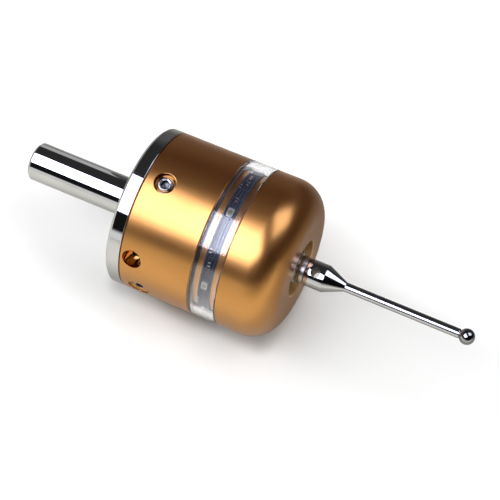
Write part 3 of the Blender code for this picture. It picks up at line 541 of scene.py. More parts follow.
# Centring screws
# Four steel set screws with hexagon sockets. They sit a little under the shell's surface and press
# on the flange's spigot; backing one off and driving the opposite one brings the ball onto the axis.
SET_SCREW_RADIUS = 2 * MM
SET_SCREW_SINK = 0.6 * MM
SET_SCREW_EDGE = 0.35 * MM
SET_SOCKET_FLATS = 2 * MM
SET_SOCKET_DEPTH = 1.6 * MM
CUP_RADIUS = 1 * MM
CUP_DEPTH = 0.5 * MM
SOCKET_POINT_SHARE = 0.3
SOCKET_POINT_OVERLAP = 0.02 * MM
bright_steel = turned_metal(
    "bright_screw_steel", (0.6, 0.6, 0.61, 1), (0.52, 0.52, 0.53, 1), 0.1, 5200.0, 0.001 * MM
)
# The socket's faces get a much darker steel than the screw: painted shade in the recess.
socket_painted_shade = turned_metal(
    "dark_socket_steel", (0.2, 0.21, 0.21, 1), (0.12, 0.125, 0.13, 1), 0.2, 5200.0, 0.001 * MM
)
screw_top = BODY_RADIUS - SET_SCREW_SINK
screw_foot = SPIGOT_RADIUS + SEAT_GAP
set_screw = turned_outwards(
    "centring_set_screw_1",
    set_hole_x,
    [
        (0, screw_top),
        (SET_SCREW_RADIUS - SET_SCREW_EDGE, screw_top),
        (SET_SCREW_RADIUS, screw_top - SET_SCREW_EDGE),
        (SET_SCREW_RADIUS, screw_foot + SET_SCREW_EDGE),
        (SET_SCREW_RADIUS - SET_SCREW_EDGE, screw_foot),
        (CUP_RADIUS, screw_foot),
        (0, screw_foot + CUP_DEPTH),
    ],
)


def hexagon_socket(obj, place, flats, depth):
    """Cuts a hexagon socket with a drilled, cone-shaped bottom into an upright screw's face."""
    height = depth + overrun
    bpy.ops.object.select_all(action="DESELECT")
    bpy.ops.mesh.primitive_cylinder_add(
        vertices=6,
        radius=flats / math.sqrt(3),
        depth=height,
        location=place + Vector((0, 0, height / 2 - depth)),
    )
    key = put_down("key")
    cut(obj, key, socket_painted_shade)
    point_depth = flats * SOCKET_POINT_SHARE
    bpy.ops.object.select_all(action="DESELECT")
    bpy.ops.mesh.primitive_cone_add(
        vertices=32,
        radius1=0,
        radius2=flats / 2,
        depth=point_depth,
        location=place - Vector((0, 0, depth + point_depth / 2 - SOCKET_POINT_OVERLAP)),
    )
    point = put_down("drill_point")
    cut(obj, point, socket_painted_shade)


set_screw.data.materials.append(bright_steel)
screw_face = Vector((set_hole_x, 0, AXIS_HEIGHT + screw_top))
hexagon_socket(set_screw, screw_face, SET_SOCKET_FLATS, SET_SOCKET_DEPTH)
soften(set_screw, 0.05 * MM)
for index, angle in enumerate(SET_SCREW_ANGLES):
    screw = copied(set_screw, f"centring_set_screw_{index + 1}")
    about_axis(screw, angle)
    dress(screw, bright_steel, stands_for=[f"centring_screw_{index + 1}"])
bpy.data.objects.remove(set_screw)


# Clear ring
# A turned and polished acrylic tube, clamped between the shell and the dome. The lamps behind it
# show through when the ball touches the work. A coat gives its outside a soft, streaky gloss.
RING_INNER_RADIUS = 18.9 * MM
RING_EDGE = 0.15 * MM
acrylic, shader = new_material("clear_acrylic", (0.97, 0.975, 0.98, 1), 0.01)
shader.inputs["Transmission Weight"].default_value = 1.0
shader.inputs["IOR"].default_value = 1.49
shader.inputs["Specular IOR Level"].default_value = 0.08
shader.inputs["Coat IOR"].default_value = 2.3
shader.inputs["Coat Roughness"].default_value = 0.17
scuffs = use_group(acrylic, handling_marks_group, {"Size per metre": 110.0})
rings = use_group(acrylic, turning_marks_group, {"Rings per metre": 2600.0})
streaks = use_group(acrylic, turning_marks_group, {"Rings per metre": 1700.0})
vary(acrylic, shader.inputs["Roughness"], scuffs.outputs["Smudge"], 0.01, 0.03)
emboss(acrylic, shader, rings.outputs["Height"], 0.0008 * MM)
tree = acrylic.node_tree
gloss = ranged(tree, streaks.outputs["Mask"], 0.41, 1.0, 0.0, 0.7)
tree.links.new(gloss, shader.inputs["Coat Weight"])
path = add_node(tree, "ShaderNodeLightPath")
clear = add_node(tree, "ShaderNodeBsdfTransparent")
passing = add_node(
    tree,
    "ShaderNodeMixShader",
    {0: path.outputs["Is Shadow Ray"], 1: shader.outputs[0], 2: clear.outputs[0]},
)
tree.links.new(passing.outputs[0], tree.nodes["Material Output"].inputs["Surface"])
ring = turned(
    "acrylic_ring",
    [
        (ring_rear, RING_INNER_RADIUS + RING_EDGE),
        (ring_rear + RING_EDGE, RING_INNER_RADIUS),
        (ring_front - RING_EDGE, RING_INNER_RADIUS),
        (ring_front, RING_INNER_RADIUS + RING_EDGE),
        (ring_front, BODY_RADIUS - RING_EDGE),
        (ring_front - RING_EDGE, BODY_RADIUS),
        (ring_rear + RING_EDGE, BODY_RADIUS),
        (ring_rear, BODY_RADIUS - RING_EDGE),
    ],
    closed=True,
)
soften(ring, 0.04 * MM)
dress(ring, acrylic, stands_for=["clear_ring"])


# Ring seal
# A moulded rubber ring, stretched over the core before the clear ring goes on. It keeps coolant out
# of the joint between the ring and the shell.
SEAL_THICKNESS = 0.62 * MM
SEAL_CLEARANCE = 0.02 * MM
SEAL_STEPS = 24


def speckled(name, light, dark, roughness, scale, metallic=0.0):
    """A moulded or fired material with a fine mottle in its colour and gloss."""
    material, shader = new_material(name, light, roughness, metallic)
    grain = use_group(material, blasted_grain_group, {"Grains per metre": scale})
    tint(material, shader, grain.outputs["Mask"], light, dark)
    vary(material, shader.inputs["Roughness"], grain.outputs["Mask"], roughness, roughness * 1.3)
    emboss(material, shader, grain.outputs["Height"], 0.004 * MM)
    return material


rubber = speckled("seal_rubber", (0.045, 0.034, 0.038, 1), (0.07, 0.05, 0.055, 1), 0.4, 5000.0)
seal_radius = SEAL_THICKNESS / 2
seal_centre = (shell_front + LEDGE_GAP + seal_radius, CORE_RADIUS + seal_radius + SEAL_CLEARANCE)
seal = turned(
    "ring_seal",
    fillet(seal_centre, seal_radius, 0, 360 - 360 / SEAL_STEPS, SEAL_STEPS - 1),
    closed=True,
)
dress(seal, rubber)


# Lamp strip
# A flexible printed board, wrapped once round the core and stuck to it. Its ends nearly meet over
# the opening for the leads, and it carries six lamps with their small resistors.
STRIP_INNER_RADIUS = 18.0 * MM
STRIP_OUTER_RADIUS = 18.25 * MM
STRIP_WIDTH = 3.2 * MM
STRIP_GAP_ANGLE = 3.8
BOARD_COLOUR = (0.03, 0.035, 0.07, 1)
TRACK_COLOUR = (0.09, 0.095, 0.14, 1)
CHIP_SIZE = (0.5 * MM, 1.0 * MM, 0.34 * MM)
CHIP_BODY_SHARE = 0.6
CHIP_END_SHARE = 0.2
CHIP_END_GROWTH = 1.04
# Each chip's station in millimetres from the flange's back, its angle, and 1 for a red one.
CHIPS = [
    (25.16, 54.3, 0),
    (26.06, 63.5, 1),
    (26.48, 71.4, 0),
    (25.15, 76.0, 0),
    (26.27, 89.1, 0),
    (25.54, 131.2, 0),
    (26.17, 141.4, 0),
    (24.98, 176.0, 0),
    (26.10, 190.0, 1),
    (25.54, 204.0, 0),
    (26.27, 231.0, 0),
    (25.54, 262.0, 1),
    (26.17, 290.0, 0),
    (26.17, 331.0, 0),
    (25.54, 351.0, 1),
    (26.27, 15.0, 0),
]
strip_rear = ring_middle - STRIP_WIDTH / 2
strip_front = ring_middle + STRIP_WIDTH / 2
strip = turned(
    "lamp_ribbon",
    [
        (strip_rear, STRIP_INNER_RADIUS),
        (strip_front, STRIP_INNER_RADIUS),
        (strip_front, STRIP_OUTER_RADIUS),
        (strip_rear, STRIP_OUTER_RADIUS),
    ],
    closed=True,
)
gap_width = 2 * STRIP_OUTER_RADIUS * math.sin(math.radians(STRIP_GAP_ANGLE / 2))
bpy.ops.object.select_all(action="DESELECT")
bpy.ops.mesh.primitive_cube_add(
    size=1,
    location=(ring_middle, 0, AXIS_HEIGHT + STRIP_OUTER_RADIUS),
    scale=(STRIP_WIDTH + overrun, gap_width, 2 * overrun),
)
gap = put_down("strip_gap")
about_axis(gap, STRIP_END_ANGLE)
cut(strip, gap)
soften(strip, 0.03 * MM, 1)
slate, shader = new_material("flex_board", BOARD_COLOUR, 0.45)
shader.inputs["Specular IOR Level"].default_value = 0.3


def strip_tracks():
    """Node group: copper tracks under the lacquer, along and across the strip."""
    tree, given, result = new_group("strip_tracks", ["Tracks per metre"], ["Mask"])
    place = add_node(tree, "ShaderNodeTexCoord")
    apart = add_node(tree, "ShaderNodeSeparateXYZ", {0: place.outputs["Object"]})
    height = computed(tree, "SUBTRACT", apart.outputs["Z"], AXIS_HEIGHT)
    turn = computed(tree, "ARCTAN2", height, apart.outputs["Y"])
    length = computed(tree, "MULTIPLY", turn, STRIP_OUTER_RADIUS)
    flat = add_node(tree, "ShaderNodeCombineXYZ", {"X": apart.outputs["X"], "Y": length})
    bricks = add_node(
        tree,
        "ShaderNodeTexBrick",
        {
            "Vector": flat.outputs[0],
            "Scale": given.outputs[0],
            "Mortar Size": 0.06,
            "Brick Width": 0.35,
            "Row Height": 1.3,
        },
        offset=0.35,
    )
    tree.links.new(bricks.outputs["Fac"], result.inputs["Mask"])
    return tree


tracks = use_group(slate, strip_tracks(), {"Tracks per metre": 420.0})
tint(slate, shader, tracks.outputs["Mask"], BOARD_COLOUR, TRACK_COLOUR)
emboss(slate, shader, tracks.outputs["Mask"], 0.02 * MM)
dress(strip, slate, stands_for=["lamp_strip"])


def small_box(name, x, size, base, edge):
    """A small block with rounded edges on top of the tool, standing at a radius from the axis."""
    bpy.ops.object.select_all(action="DESELECT")
    bpy.ops.mesh.primitive_cube_add(
        size=1, location=(x, 0, AXIS_HEIGHT + base + size[2] / 2), scale=size
    )
    block = put_down(name)
    soften(block, edge, 2)
    return block


def merged(name, blocks):
    """Joins blocks into one piece."""
    bpy.ops.object.select_all(action="DESELECT")
    for block in blocks:
        block.select_set(True)
    bpy.context.view_layer.objects.active = blocks[0]
    bpy.ops.object.join()
    blocks[0].name = name
    blocks[0].data.name = name
    return blocks[0]


solder = speckled("solder", (0.9, 0.9, 0.92, 1), (0.8, 0.8, 0.82, 1), 0.3, 6000.0, metallic=1.0)
chip_black = speckled("chip_black", (0.02, 0.02, 0.022, 1), (0.045, 0.045, 0.05, 1), 0.35, 9000.0)
chip_red = speckled("chip_red", (0.35, 0.05, 0.03, 1), (0.25, 0.03, 0.02, 1), 0.35, 9000.0)
width, length, height = CHIP_SIZE
chip_body_size = (width, length * CHIP_BODY_SHARE, height)
chip_end_size = (width * CHIP_END_GROWTH, length * CHIP_END_SHARE, height * CHIP_END_GROWTH)
chip_end_shift = length * (CHIP_BODY_SHARE + CHIP_END_SHARE) / 2
for index, (station, angle, red) in enumerate(CHIPS):
    x = flange_back + station * MM
    ceramic = small_box(f"chip_{index + 1}", x, chip_body_size, STRIP_OUTER_RADIUS, 0.03 * MM)
    ceramic.data.materials.append(chip_red if red else chip_black)
    about_axis(ceramic, angle)
    smooth(ceramic)
    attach(ceramic, "housing")
    ends = []
    for side in (-1, 1):
        end = small_box(f"chip_end_{side}", x, chip_end_size, STRIP_OUTER_RADIUS, 0.04 * MM)
        end.data.transform(Matrix.Translation((0, side * chip_end_shift, 0)))
        ends.append(end)
    caps = merged(f"chip_{index + 1}_ends", ends)
    about_axis(caps, angle)
    caps.data.materials.append(solder)
    smooth(caps)
    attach(caps, "housing")


# Lamps
# Six surface-mounted lamps at even steps round the strip: a white moulded body with a well of
# yellowish resin, soldered at its two ends.
LAMP_ANGLES = [100 + 60 * i for i in range(6)]
LAMP_LENGTH = 2.2 * MM
LAMP_WIDTH = 1.6 * MM
LAMP_HEIGHT = 0.35 * MM
LAMP_WELL = 1.1 * MM
LAMP_RIM = 0.2 * MM
LAMP_BODY_SHARE = 0.86
LAMP_END_WIDTH_SHARE = 0.8
LAMP_END_LENGTH_SHARE = 0.12
LAMP_END_HEIGHT_SHARE = 0.45
LAMP_END_SHIFT_SHARE = 0.44
WELL_FLOOR_SHARE = 0.7
RESIN_TOP_SHARE = 0.92
RESIN_FLAT_SHARE = 0.35
WELL_STEPS = 32
well_floor = STRIP_OUTER_RADIUS + LAMP_HEIGHT * WELL_FLOOR_SHARE
resin_top = STRIP_OUTER_RADIUS + LAMP_HEIGHT * RESIN_TOP_SHARE
lamp_end_size = (
    LAMP_WIDTH * LAMP_END_WIDTH_SHARE,
    LAMP_LENGTH * LAMP_END_LENGTH_SHARE,
    LAMP_HEIGHT * LAMP_END_HEIGHT_SHARE,
)
lamp_end_shift = LAMP_LENGTH * LAMP_END_SHIFT_SHARE
white_body = speckled("lamp_body", (0.85, 0.85, 0.84, 1), (0.75, 0.75, 0.75, 1), 0.4, 7000.0)
resin = speckled("lamp_resin", (0.55, 0.53, 0.4, 1), (0.42, 0.4, 0.28, 1), 0.15, 5000.0)
for index, angle in enumerate(LAMP_ANGLES):
    body = small_box(
        f"lamp_{index + 1}_body",
        ring_middle,
        (LAMP_WIDTH, LAMP_LENGTH * LAMP_BODY_SHARE, LAMP_HEIGHT),
        STRIP_OUTER_RADIUS,
        0.05 * MM,
    )
    well = turned_outwards(
        "well",
        ring_middle,
        [
            (0, well_floor),
            (LAMP_WELL / 2, well_floor),
            (LAMP_WELL / 2 + LAMP_RIM, well_floor + overrun),
            (0, well_floor + overrun),
        ],
        WELL_STEPS,
    )
    cut(body, well)
    drop = turned_outwards(
        f"lamp_{index + 1}_resin",
        ring_middle,
        [
            (0, resin_top),
            (LAMP_WELL * RESIN_FLAT_SHARE, resin_top - 0.01 * MM),
            (LAMP_WELL / 2, resin_top - 0.03 * MM),
            (LAMP_WELL / 2, well_floor),
            (0, well_floor),
        ],
        WELL_STEPS,
    )
    ends = []
    for side in (-1, 1):
        end = small_box("lamp_end", ring_middle, lamp_end_size, STRIP_OUTER_RADIUS, 0.04 * MM)
        end.data.transform(Matrix.Translation((0, side * lamp_end_shift, 0)))
        ends.append(end)
    caps = merged(f"lamp_{index + 1}_ends", ends)
    for piece in (body, drop, caps):
        about_axis(piece, angle)
    dress(body, white_body, stands_for=[f"lamp_{index + 1}"])
    dress(drop, resin)
    dress(caps, solder)


# Dome shell
# Turned, blasted and anodised like the upper shell. It screws onto the core, clamps the clear ring,
# and holds the seat ring behind its round shoulder; the stylus holder looks out of its mouth.
DOME_SHOULDER_RADIUS = 8.3 * MM
DOME_WALL = 2.2 * MM
DOME_BORE_RADIUS = 18.2 * MM
DOME_FLAT_RADIUS = 12.2 * MM
DOME_INNER_SHOULDER = 6 * MM
MOUTH_RADIUS = 7.37 * MM
MOUTH_CHAMFER = 0.2 * MM
DOME_EDGE = 0.15 * MM
GOLD_MOUTH_PAINTED_LIGHT_COLOUR = (0.8, 0.5, 0.22, 1)
GOLD_MOUTH_PAINTED_LIGHT_DARK = (0.74, 0.46, 0.19, 1)
dome_rear, dome_front = span("dome_shell")
inner_front = dome_front - DOME_WALL
dome = turned(
    "gold_dome",
    [
        (dome_rear, DOME_BORE_RADIUS),
        (dome_rear, BODY_RADIUS - DOME_EDGE),
        (dome_rear + DOME_EDGE, BODY_RADIUS),
        *fillet(
            (dome_front - DOME_SHOULDER_RADIUS, BODY_RADIUS - DOME_SHOULDER_RADIUS),
            DOME_SHOULDER_RADIUS,
            90,
            0,
            32,
        ),
        (dome_front, MOUTH_RADIUS + MOUTH_CHAMFER),
        (dome_front - MOUTH_CHAMFER, MOUTH_RADIUS),
        (inner_front, MOUTH_RADIUS),
        *fillet(
            (inner_front - DOME_INNER_SHOULDER, DOME_FLAT_RADIUS),
            DOME_INNER_SHOULDER,
            0,
            90,
            12,
        ),
    ],
    closed=True,
)
dome.data.materials.append(gold)
# The mouth's bore gets a half-matt gold, lit by the lamps, whose colour is lighter than the shell's:
# painted light, so the wall inside the mouth shows bright.
dome.data.materials.append(
    anodised("gold_in_mouth_painted_light", GOLD_MOUTH_PAINTED_LIGHT_COLOUR, GOLD_MOUTH_PAINTED_LIGHT_DARK, 0.45, metallic=0.5)
)
for face in dome.data.polygons:
    if math.hypot(face.center.y, face.center.z - AXIS_HEIGHT) < MOUTH_RADIUS + 0.5 * MOUTH_CHAMFER:
        face.material_index = 1
dress(dome, gold, stands_for=["dome_shell"])


# Stylus holder
# A steel boss and collar, screwed into the hub. The boss shows in the mouth, and the collar, with a
# relief groove behind it, carries the stylus.
BOSS_RADIUS = 4 * MM
HOLDER_STUD_RADIUS = 2.4 * MM
HOLDER_STUD_LENGTH = 3.2 * MM
COLLAR_RADIUS = 3.5 * MM
COLLAR_LENGTH = 2.15 * MM
GROOVE_WIDTH = 0.3 * MM
GROOVE_DEPTH = 0.4 * MM
HOLDER_CHAMFER = 0.2 * MM
STYLUS_STUD_RADIUS = 1.9 * MM
STYLUS_STUD_LENGTH = 4.5 * MM
STUD_CLEARANCE = 0.1 * MM
STUD_HOLE_OVERRUN = 1 * MM
STUD_HOLE_POINT = 0.6 * MM
holder_rear, collar_front = span("stylus_holder")
boss_front = collar_front - COLLAR_LENGTH
boss_rear = holder_rear + HOLDER_STUD_LENGTH
stylus_steel = turned_metal(
    "polished_stylus_steel", (0.62, 0.62, 0.63, 1), (0.56, 0.56, 0.57, 1), 0.04, 4200.0, 0.0003 * MM
)
holder_steel = turned_metal(
    "brushed_holder_steel", (0.56, 0.54, 0.5, 1), (0.48, 0.46, 0.43, 1), 0.19, 3000.0, 0.002 * MM
)
stud_hole_radius = STYLUS_STUD_RADIUS + STUD_CLEARANCE
stud_hole_end = collar_front - STYLUS_STUD_LENGTH - STUD_HOLE_OVERRUN
holder = turned(
    "stylus_boss_and_collar",
    [
        (holder_rear, 0),
        (holder_rear, HOLDER_STUD_RADIUS - HOLDER_CHAMFER),
        (holder_rear + HOLDER_CHAMFER, HOLDER_STUD_RADIUS),
        (boss_rear, HOLDER_STUD_RADIUS),
        (boss_rear, BOSS_RADIUS),
        (boss_front - HOLDER_CHAMFER, BOSS_RADIUS),
        (boss_front, BOSS_RADIUS - HOLDER_CHAMFER),
        (boss_front, COLLAR_RADIUS - GROOVE_DEPTH),
        (boss_front + GROOVE_WIDTH, COLLAR_RADIUS - GROOVE_DEPTH),
        (boss_front + GROOVE_WIDTH, COLLAR_RADIUS),
        (collar_front, COLLAR_RADIUS),
        (collar_front, stud_hole_radius),
        (stud_hole_end, stud_hole_radius),
        (stud_hole_end - STUD_HOLE_POINT, 0),
    ],
)
soften(holder, 0.05 * MM)
dress(holder, holder_steel, "stylus_group", ["stylus_holder"])


# Stylus
# Turned and polished steel: a threaded stud inside the holder, a base with a cross hole for the
# tightening pin, a cone, and a slim stem whose end is hollowed for the ball.
BASE_RADIUS = 3.5 * MM
BASE_LENGTH = 5 * MM
BASE_EDGE = 0.15 * MM
CONE_LENGTH = 5.35 * MM
STUD_CHAMFER = 0.3 * MM
STEM_RADIUS = 1.2 * MM
STEM_END_TAPER = 0.25 * MM
STEM_END_SHARE = 0.82
STYLUS_STEPS = 256
CROSS_HOLE_RADIUS = 1.25 * MM
CROSS_HOLE_OFFSET = 2.6 * MM
CROSS_HOLE_ANGLE = 111
stylus_rear = span("stylus")[0]
ball_low, ball_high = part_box("stylus_ball")
ball_radius = (ball_high.y - ball_low.y) / 2
ball_centre = ball_high.x - ball_radius
base_rear = collar_front + LEDGE_GAP
shoulder = base_rear + BASE_LENGTH
cone_front = shoulder + CONE_LENGTH
stem_end_radius = STEM_RADIUS * STEM_END_SHARE
seat_reach = math.sqrt(ball_radius**2 - stem_end_radius**2)
stem_end = ball_centre - seat_reach
stylus = turned(
    "stylus_base_and_stem",
    [
        (stylus_rear, 0),
        (stylus_rear, STYLUS_STUD_RADIUS - STUD_CHAMFER),
        (stylus_rear + STUD_CHAMFER, STYLUS_STUD_RADIUS),
        (base_rear, STYLUS_STUD_RADIUS),
        (base_rear, BASE_RADIUS - BASE_EDGE),
        (base_rear + BASE_EDGE, BASE_RADIUS),
        (shoulder, BASE_RADIUS),
        (cone_front, STEM_RADIUS),
        (stem_end - STEM_END_TAPER, STEM_RADIUS),
        (stem_end, stem_end_radius),
        (ball_centre - ball_radius, 0),
    ],
    STYLUS_STEPS,
)
soften(stylus, 0.05 * MM)
cross_x = base_rear + CROSS_HOLE_OFFSET
cross = turned_outwards(
    "cross_hole",
    cross_x,
    [
        (0, -BASE_RADIUS - overrun),
        (CROSS_HOLE_RADIUS, -BASE_RADIUS - overrun),
        (CROSS_HOLE_RADIUS, BASE_RADIUS + overrun),
        (0, BASE_RADIUS + overrun),
    ],
)
about_axis(cross, CROSS_HOLE_ANGLE)
drilled_steel = turned_metal(
    "drilled_steel", (0.5, 0.45, 0.42, 1), (0.4, 0.36, 0.33, 1), 0.4, 3000.0, 0.002 * MM
)
cut(stylus, cross, drilled_steel)
dress(stylus, stylus_steel, "stylus_group", ["stylus"])


# Stylus ball
# A hardened, lapped steel ball, brazed into the hollow end of the stem.
lapped = turned_metal(
    "lapped_ball_steel", (0.36, 0.36, 0.365, 1), (0.32, 0.32, 0.325, 1), 0.02, 900.0, 0.0002 * MM
)
ball = turned("touch_ball", fillet((ball_centre, 0), ball_radius, 180, 0, 64), 128)
dress(ball, lapped, "stylus_group", ["stylus_ball"])


# Pieces inside
# These keep the shapes of the CAD model: the screws, the cell and its holder, the board, the seats
# and the springs. Each gets the finish of its own material.
zinc = turned_metal(
    "zinc_plated_steel", (0.55, 0.56, 0.58, 1), (0.46, 0.47, 0.49, 1), 0.22, 3000.0, 0.002 * MM
)
hardened = turned_metal(
    "ground_ball_steel", (0.66, 0.66, 0.67, 1), (0.6, 0.6, 0.61, 1), 0.04, 900.0, 0.0002 * MM
)
spring_wire = turned_metal(
    "spring_wire", (0.5, 0.5, 0.51, 1), (0.4, 0.4, 0.41, 1), 0.2, 2500.0, 0.002 * MM
)
cell_can = turned_metal(
    "nickel_cell_can", (0.7, 0.68, 0.64, 1), (0.6, 0.58, 0.54, 1), 0.18, 2000.0, 0.002 * MM
)
laminate = speckled("board_laminate", (0.03, 0.14, 0.06, 1), (0.02, 0.1, 0.04, 1), 0.35, 2500.0)
black_nylon = speckled("black_nylon", (0.025, 0.025, 0.027, 1), (0.04, 0.04, 0.042, 1), 0.5, 5000.0)
seat_resin = speckled("seat_resin", (0.16, 0.1, 0.06, 1), (0.22, 0.14, 0.08, 1), 0.45, 3500.0)
finishes = [
    (zinc, ["draw_screw", "draw_washer", "contact_leaf", "spring_plate", "hub"]),
    (zinc, ["seat_screw_1", "seat_screw_2", "seat_screw_3"]),
    (hardened, [f"contact_ball_{i + 1}" for i in range(6)]),
    (hardened, ["contact_pin_1", "contact_pin_2", "contact_pin_3"]),
    (spring_wire, ["return_spring_1", "return_spring_2", "return_spring_3"]),
    (cell_can, ["coin_cell"]),
    (laminate, ["circuit_board"]),
    (black_nylon, ["cell_holder"]),
    (seat_resin, ["seat_ring"]),
]
for material, nodes in finishes:
    for node in nodes:
        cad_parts[node].data.materials.clear()
        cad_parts[node].data.materials.append(material)


# Floor
# White card under the tool. The camera sees it white with the tool's soft shadow; mirror surfaces
# see painted light and shade on it, pale in front of the tool and dark behind it as in a studio with
# one bright side, and darker still behind the dome and under the body's front. Right beside the body
# its colour falls a little: a painted contact shadow where the cast shadow is deepest.
FLOOR_RADIUS = 3.0
WHITE_FROM = 0.16
WHITE_AT = 0.3
CONTACT_X = (-0.03, 0.009)
CONTACT_Y = 0.0125
CONTACT_REACH = 0.006
CONTACT_LEVEL = 0.6
MIRRORED_NEAR = -0.6
MIRRORED_FAR = 0.2
MIRRORED_LEVELS = [
    (-0.6, 0.62),
    (-0.3, 0.7),
    (-0.15, 0.78),
    (-0.071, 0.8),
    (-0.03, 0.78),
    (-0.015, 0.74),
    (0.0, 0.56),
    (0.02, 0.3),
    (0.035, 0.3),
    (0.045, 0.36),
    (0.053, 0.33),
    (0.065, 0.26),
    (0.085, 0.19),
    (0.123, 0.12),
    (0.16, 0.1),
]
MIRRORED_TINT = (1.0, 0.98, 0.9)
DOME_DIMMING = 0.55
DOME_DIMMING_X = (-0.01, 0.03)
DOME_DIMMING_Y = (0.01, 0.05)
BODY_DIMMING = 0.34
BODY_DIMMING_X = (-0.046, -0.036)
BODY_DIMMING_Y = (-0.055, -0.025)
BODY_DIMMING_END = (0.015, -0.005)
bpy.ops.object.select_all(action="DESELECT")
bpy.ops.mesh.primitive_circle_add(
    vertices=64, radius=FLOOR_RADIUS, fill_type="NGON", location=(0, 0, 0)
)
floor = put_down("floor")
floor_card = bpy.data.materials.new("floor_card")
floor_card.use_nodes = True
tree = floor_card.node_tree
tree.nodes.clear()
place = add_node(tree, "ShaderNodeTexCoord")
apart = add_node(tree, "ShaderNodeSeparateXYZ", {0: place.outputs["Object"]})
x, y = apart.outputs["X"], apart.outputs["Y"]

contact_middle = sum(CONTACT_X) / 2
contact_half = (CONTACT_X[1] - CONTACT_X[0]) / 2
from_middle = computed(tree, "ABSOLUTE", computed(tree, "SUBTRACT", x, contact_middle))
from_axis = computed(tree, "ABSOLUTE", y)
beside = add_node(
    tree,
    "ShaderNodeCombineXYZ",
    {
        "X": computed(tree, "SUBTRACT", from_middle, contact_half),
        "Y": computed(tree, "SUBTRACT", from_axis, CONTACT_Y),
    },
)
outwards = add_node(
    tree, "ShaderNodeVectorMath", {0: beside.outputs[0], 1: (0, 0, 0)}, operation="MAXIMUM"
)
away = add_node(tree, "ShaderNodeVectorMath", {0: outwards.outputs[0]}, operation="LENGTH")
# Painted contact shadow: the card's colour falls to CONTACT_LEVEL right beside the body.
painted_contact_shadow = ranged(tree, away.outputs["Value"], 0.0, CONTACT_REACH, CONTACT_LEVEL, 1.0, eased=True)
card = add_node(tree, "ShaderNodeBsdfDiffuse", {"Color": painted_contact_shadow})
white = add_node(tree, "ShaderNodeEmission", {"Color": (1, 1, 1, 1), "Strength": 1.0})
distance = add_node(
    tree, "ShaderNodeVectorMath", {0: place.outputs["Object"]}, operation="LENGTH"
)
outside = ranged(tree, distance.outputs["Value"], WHITE_FROM, WHITE_AT, eased=True)
seen = add_node(
    tree, "ShaderNodeMixShader", {0: outside, 1: card.outputs[0], 2: white.outputs[0]}
)

# Painted light and shade for mirror surfaces: the card's colour pales in front of the tool and
# darkens behind it.
behind = ranged(tree, y, MIRRORED_NEAR, MIRRORED_FAR)
fading = add_node(tree, "ShaderNodeValToRGB", {"Fac": behind})
stops = fading.color_ramp.elements
stops.remove(stops[1])
for stop_y, grey in MIRRORED_LEVELS:
    stop = stops.new((stop_y - MIRRORED_NEAR) / (MIRRORED_FAR - MIRRORED_NEAR))
    stop.color = (*[grey * share for share in MIRRORED_TINT], 1)
stops.remove(stops[0])
# Painted shade for mirror surfaces: the card's colour darkens behind the dome and under the body's
# front.
painted_shade_behind_dome = computed(
    tree,
    "MULTIPLY",
    ranged(tree, x, *DOME_DIMMING_X, eased=True),
    ranged(tree, y, *DOME_DIMMING_Y, 0.0, DOME_DIMMING, eased=True),
)
painted_shade_under_front = computed(
    tree,
    "MULTIPLY",
    ranged(tree, x, *BODY_DIMMING_X, eased=True),
    ranged(tree, y, *BODY_DIMMING_Y, 0.0, BODY_DIMMING, eased=True),
)
painted_shade_under_body = computed(
    tree, "MULTIPLY", painted_shade_under_front, ranged(tree, y, *BODY_DIMMING_END, eased=True)
)
mirrored_colour = add_node(
    tree,
    "ShaderNodeMix",
    {
        "Factor": computed(tree, "MAXIMUM", painted_shade_behind_dome, painted_shade_under_body),
        6: fading.outputs["Color"],
        7: (0, 0, 0, 1),
    },
    data_type="RGBA",
)
mirrored = add_node(tree, "ShaderNodeBsdfDiffuse", {"Color": mirrored_colour.outputs[2]})

path = add_node(tree, "ShaderNodeLightPath")
straight = computed(
    tree, "MAXIMUM", path.outputs["Is Camera Ray"], path.outputs["Is Transmission Ray"]
)
both = add_node(
    tree, "ShaderNodeMixShader", {0: straight, 1: mirrored.outputs[0], 2: seen.outputs[0]}
)
add_node(tree, "ShaderNodeOutputMaterial", {"Surface": both.outputs[0]})
floor.data.materials.append(floor_card)


# Soft boxes
# Polished surfaces see two soft boxes overhead in a row that runs across the tool. Matt surfaces and
# the floor get their light from a set of boxes all round, at the level that keeps plain colours.
# A box's edges are left, right, near and far along its row, as shares of its height.
BOX_HEIGHT = 2.0
ROW_TURN = 45
GLOSS_TINT = (0.76, 0.79, 1.0, 1)
GLOSS_BOXES = [
    ("near_box_for_gloss", (-1.2, -0.18, -0.64, 0.42), 6.0),
    ("far_box_for_gloss", (0.32, 1.6, -0.42, 0.38), 2.7),
]
MATT_BOXES = [
    ((-1.4, 0.1, -0.75, -0.25), 4.0),
    ((-0.7, 0.3, -0.5, 0.0), 1.1),
    ((0.0, 1.0, -0.1, 0.5), 1.8),
    ((-1.2, 0.1, 0.5, 1.3), 2.0),
    ((2.0, 2.6, -0.5, 0.7), 36.0),
    ((-2.6, -1.9, -0.5, 0.7), 32.0),
    ((1.0, 2.0, 1.0, 2.2), 3.0),
]


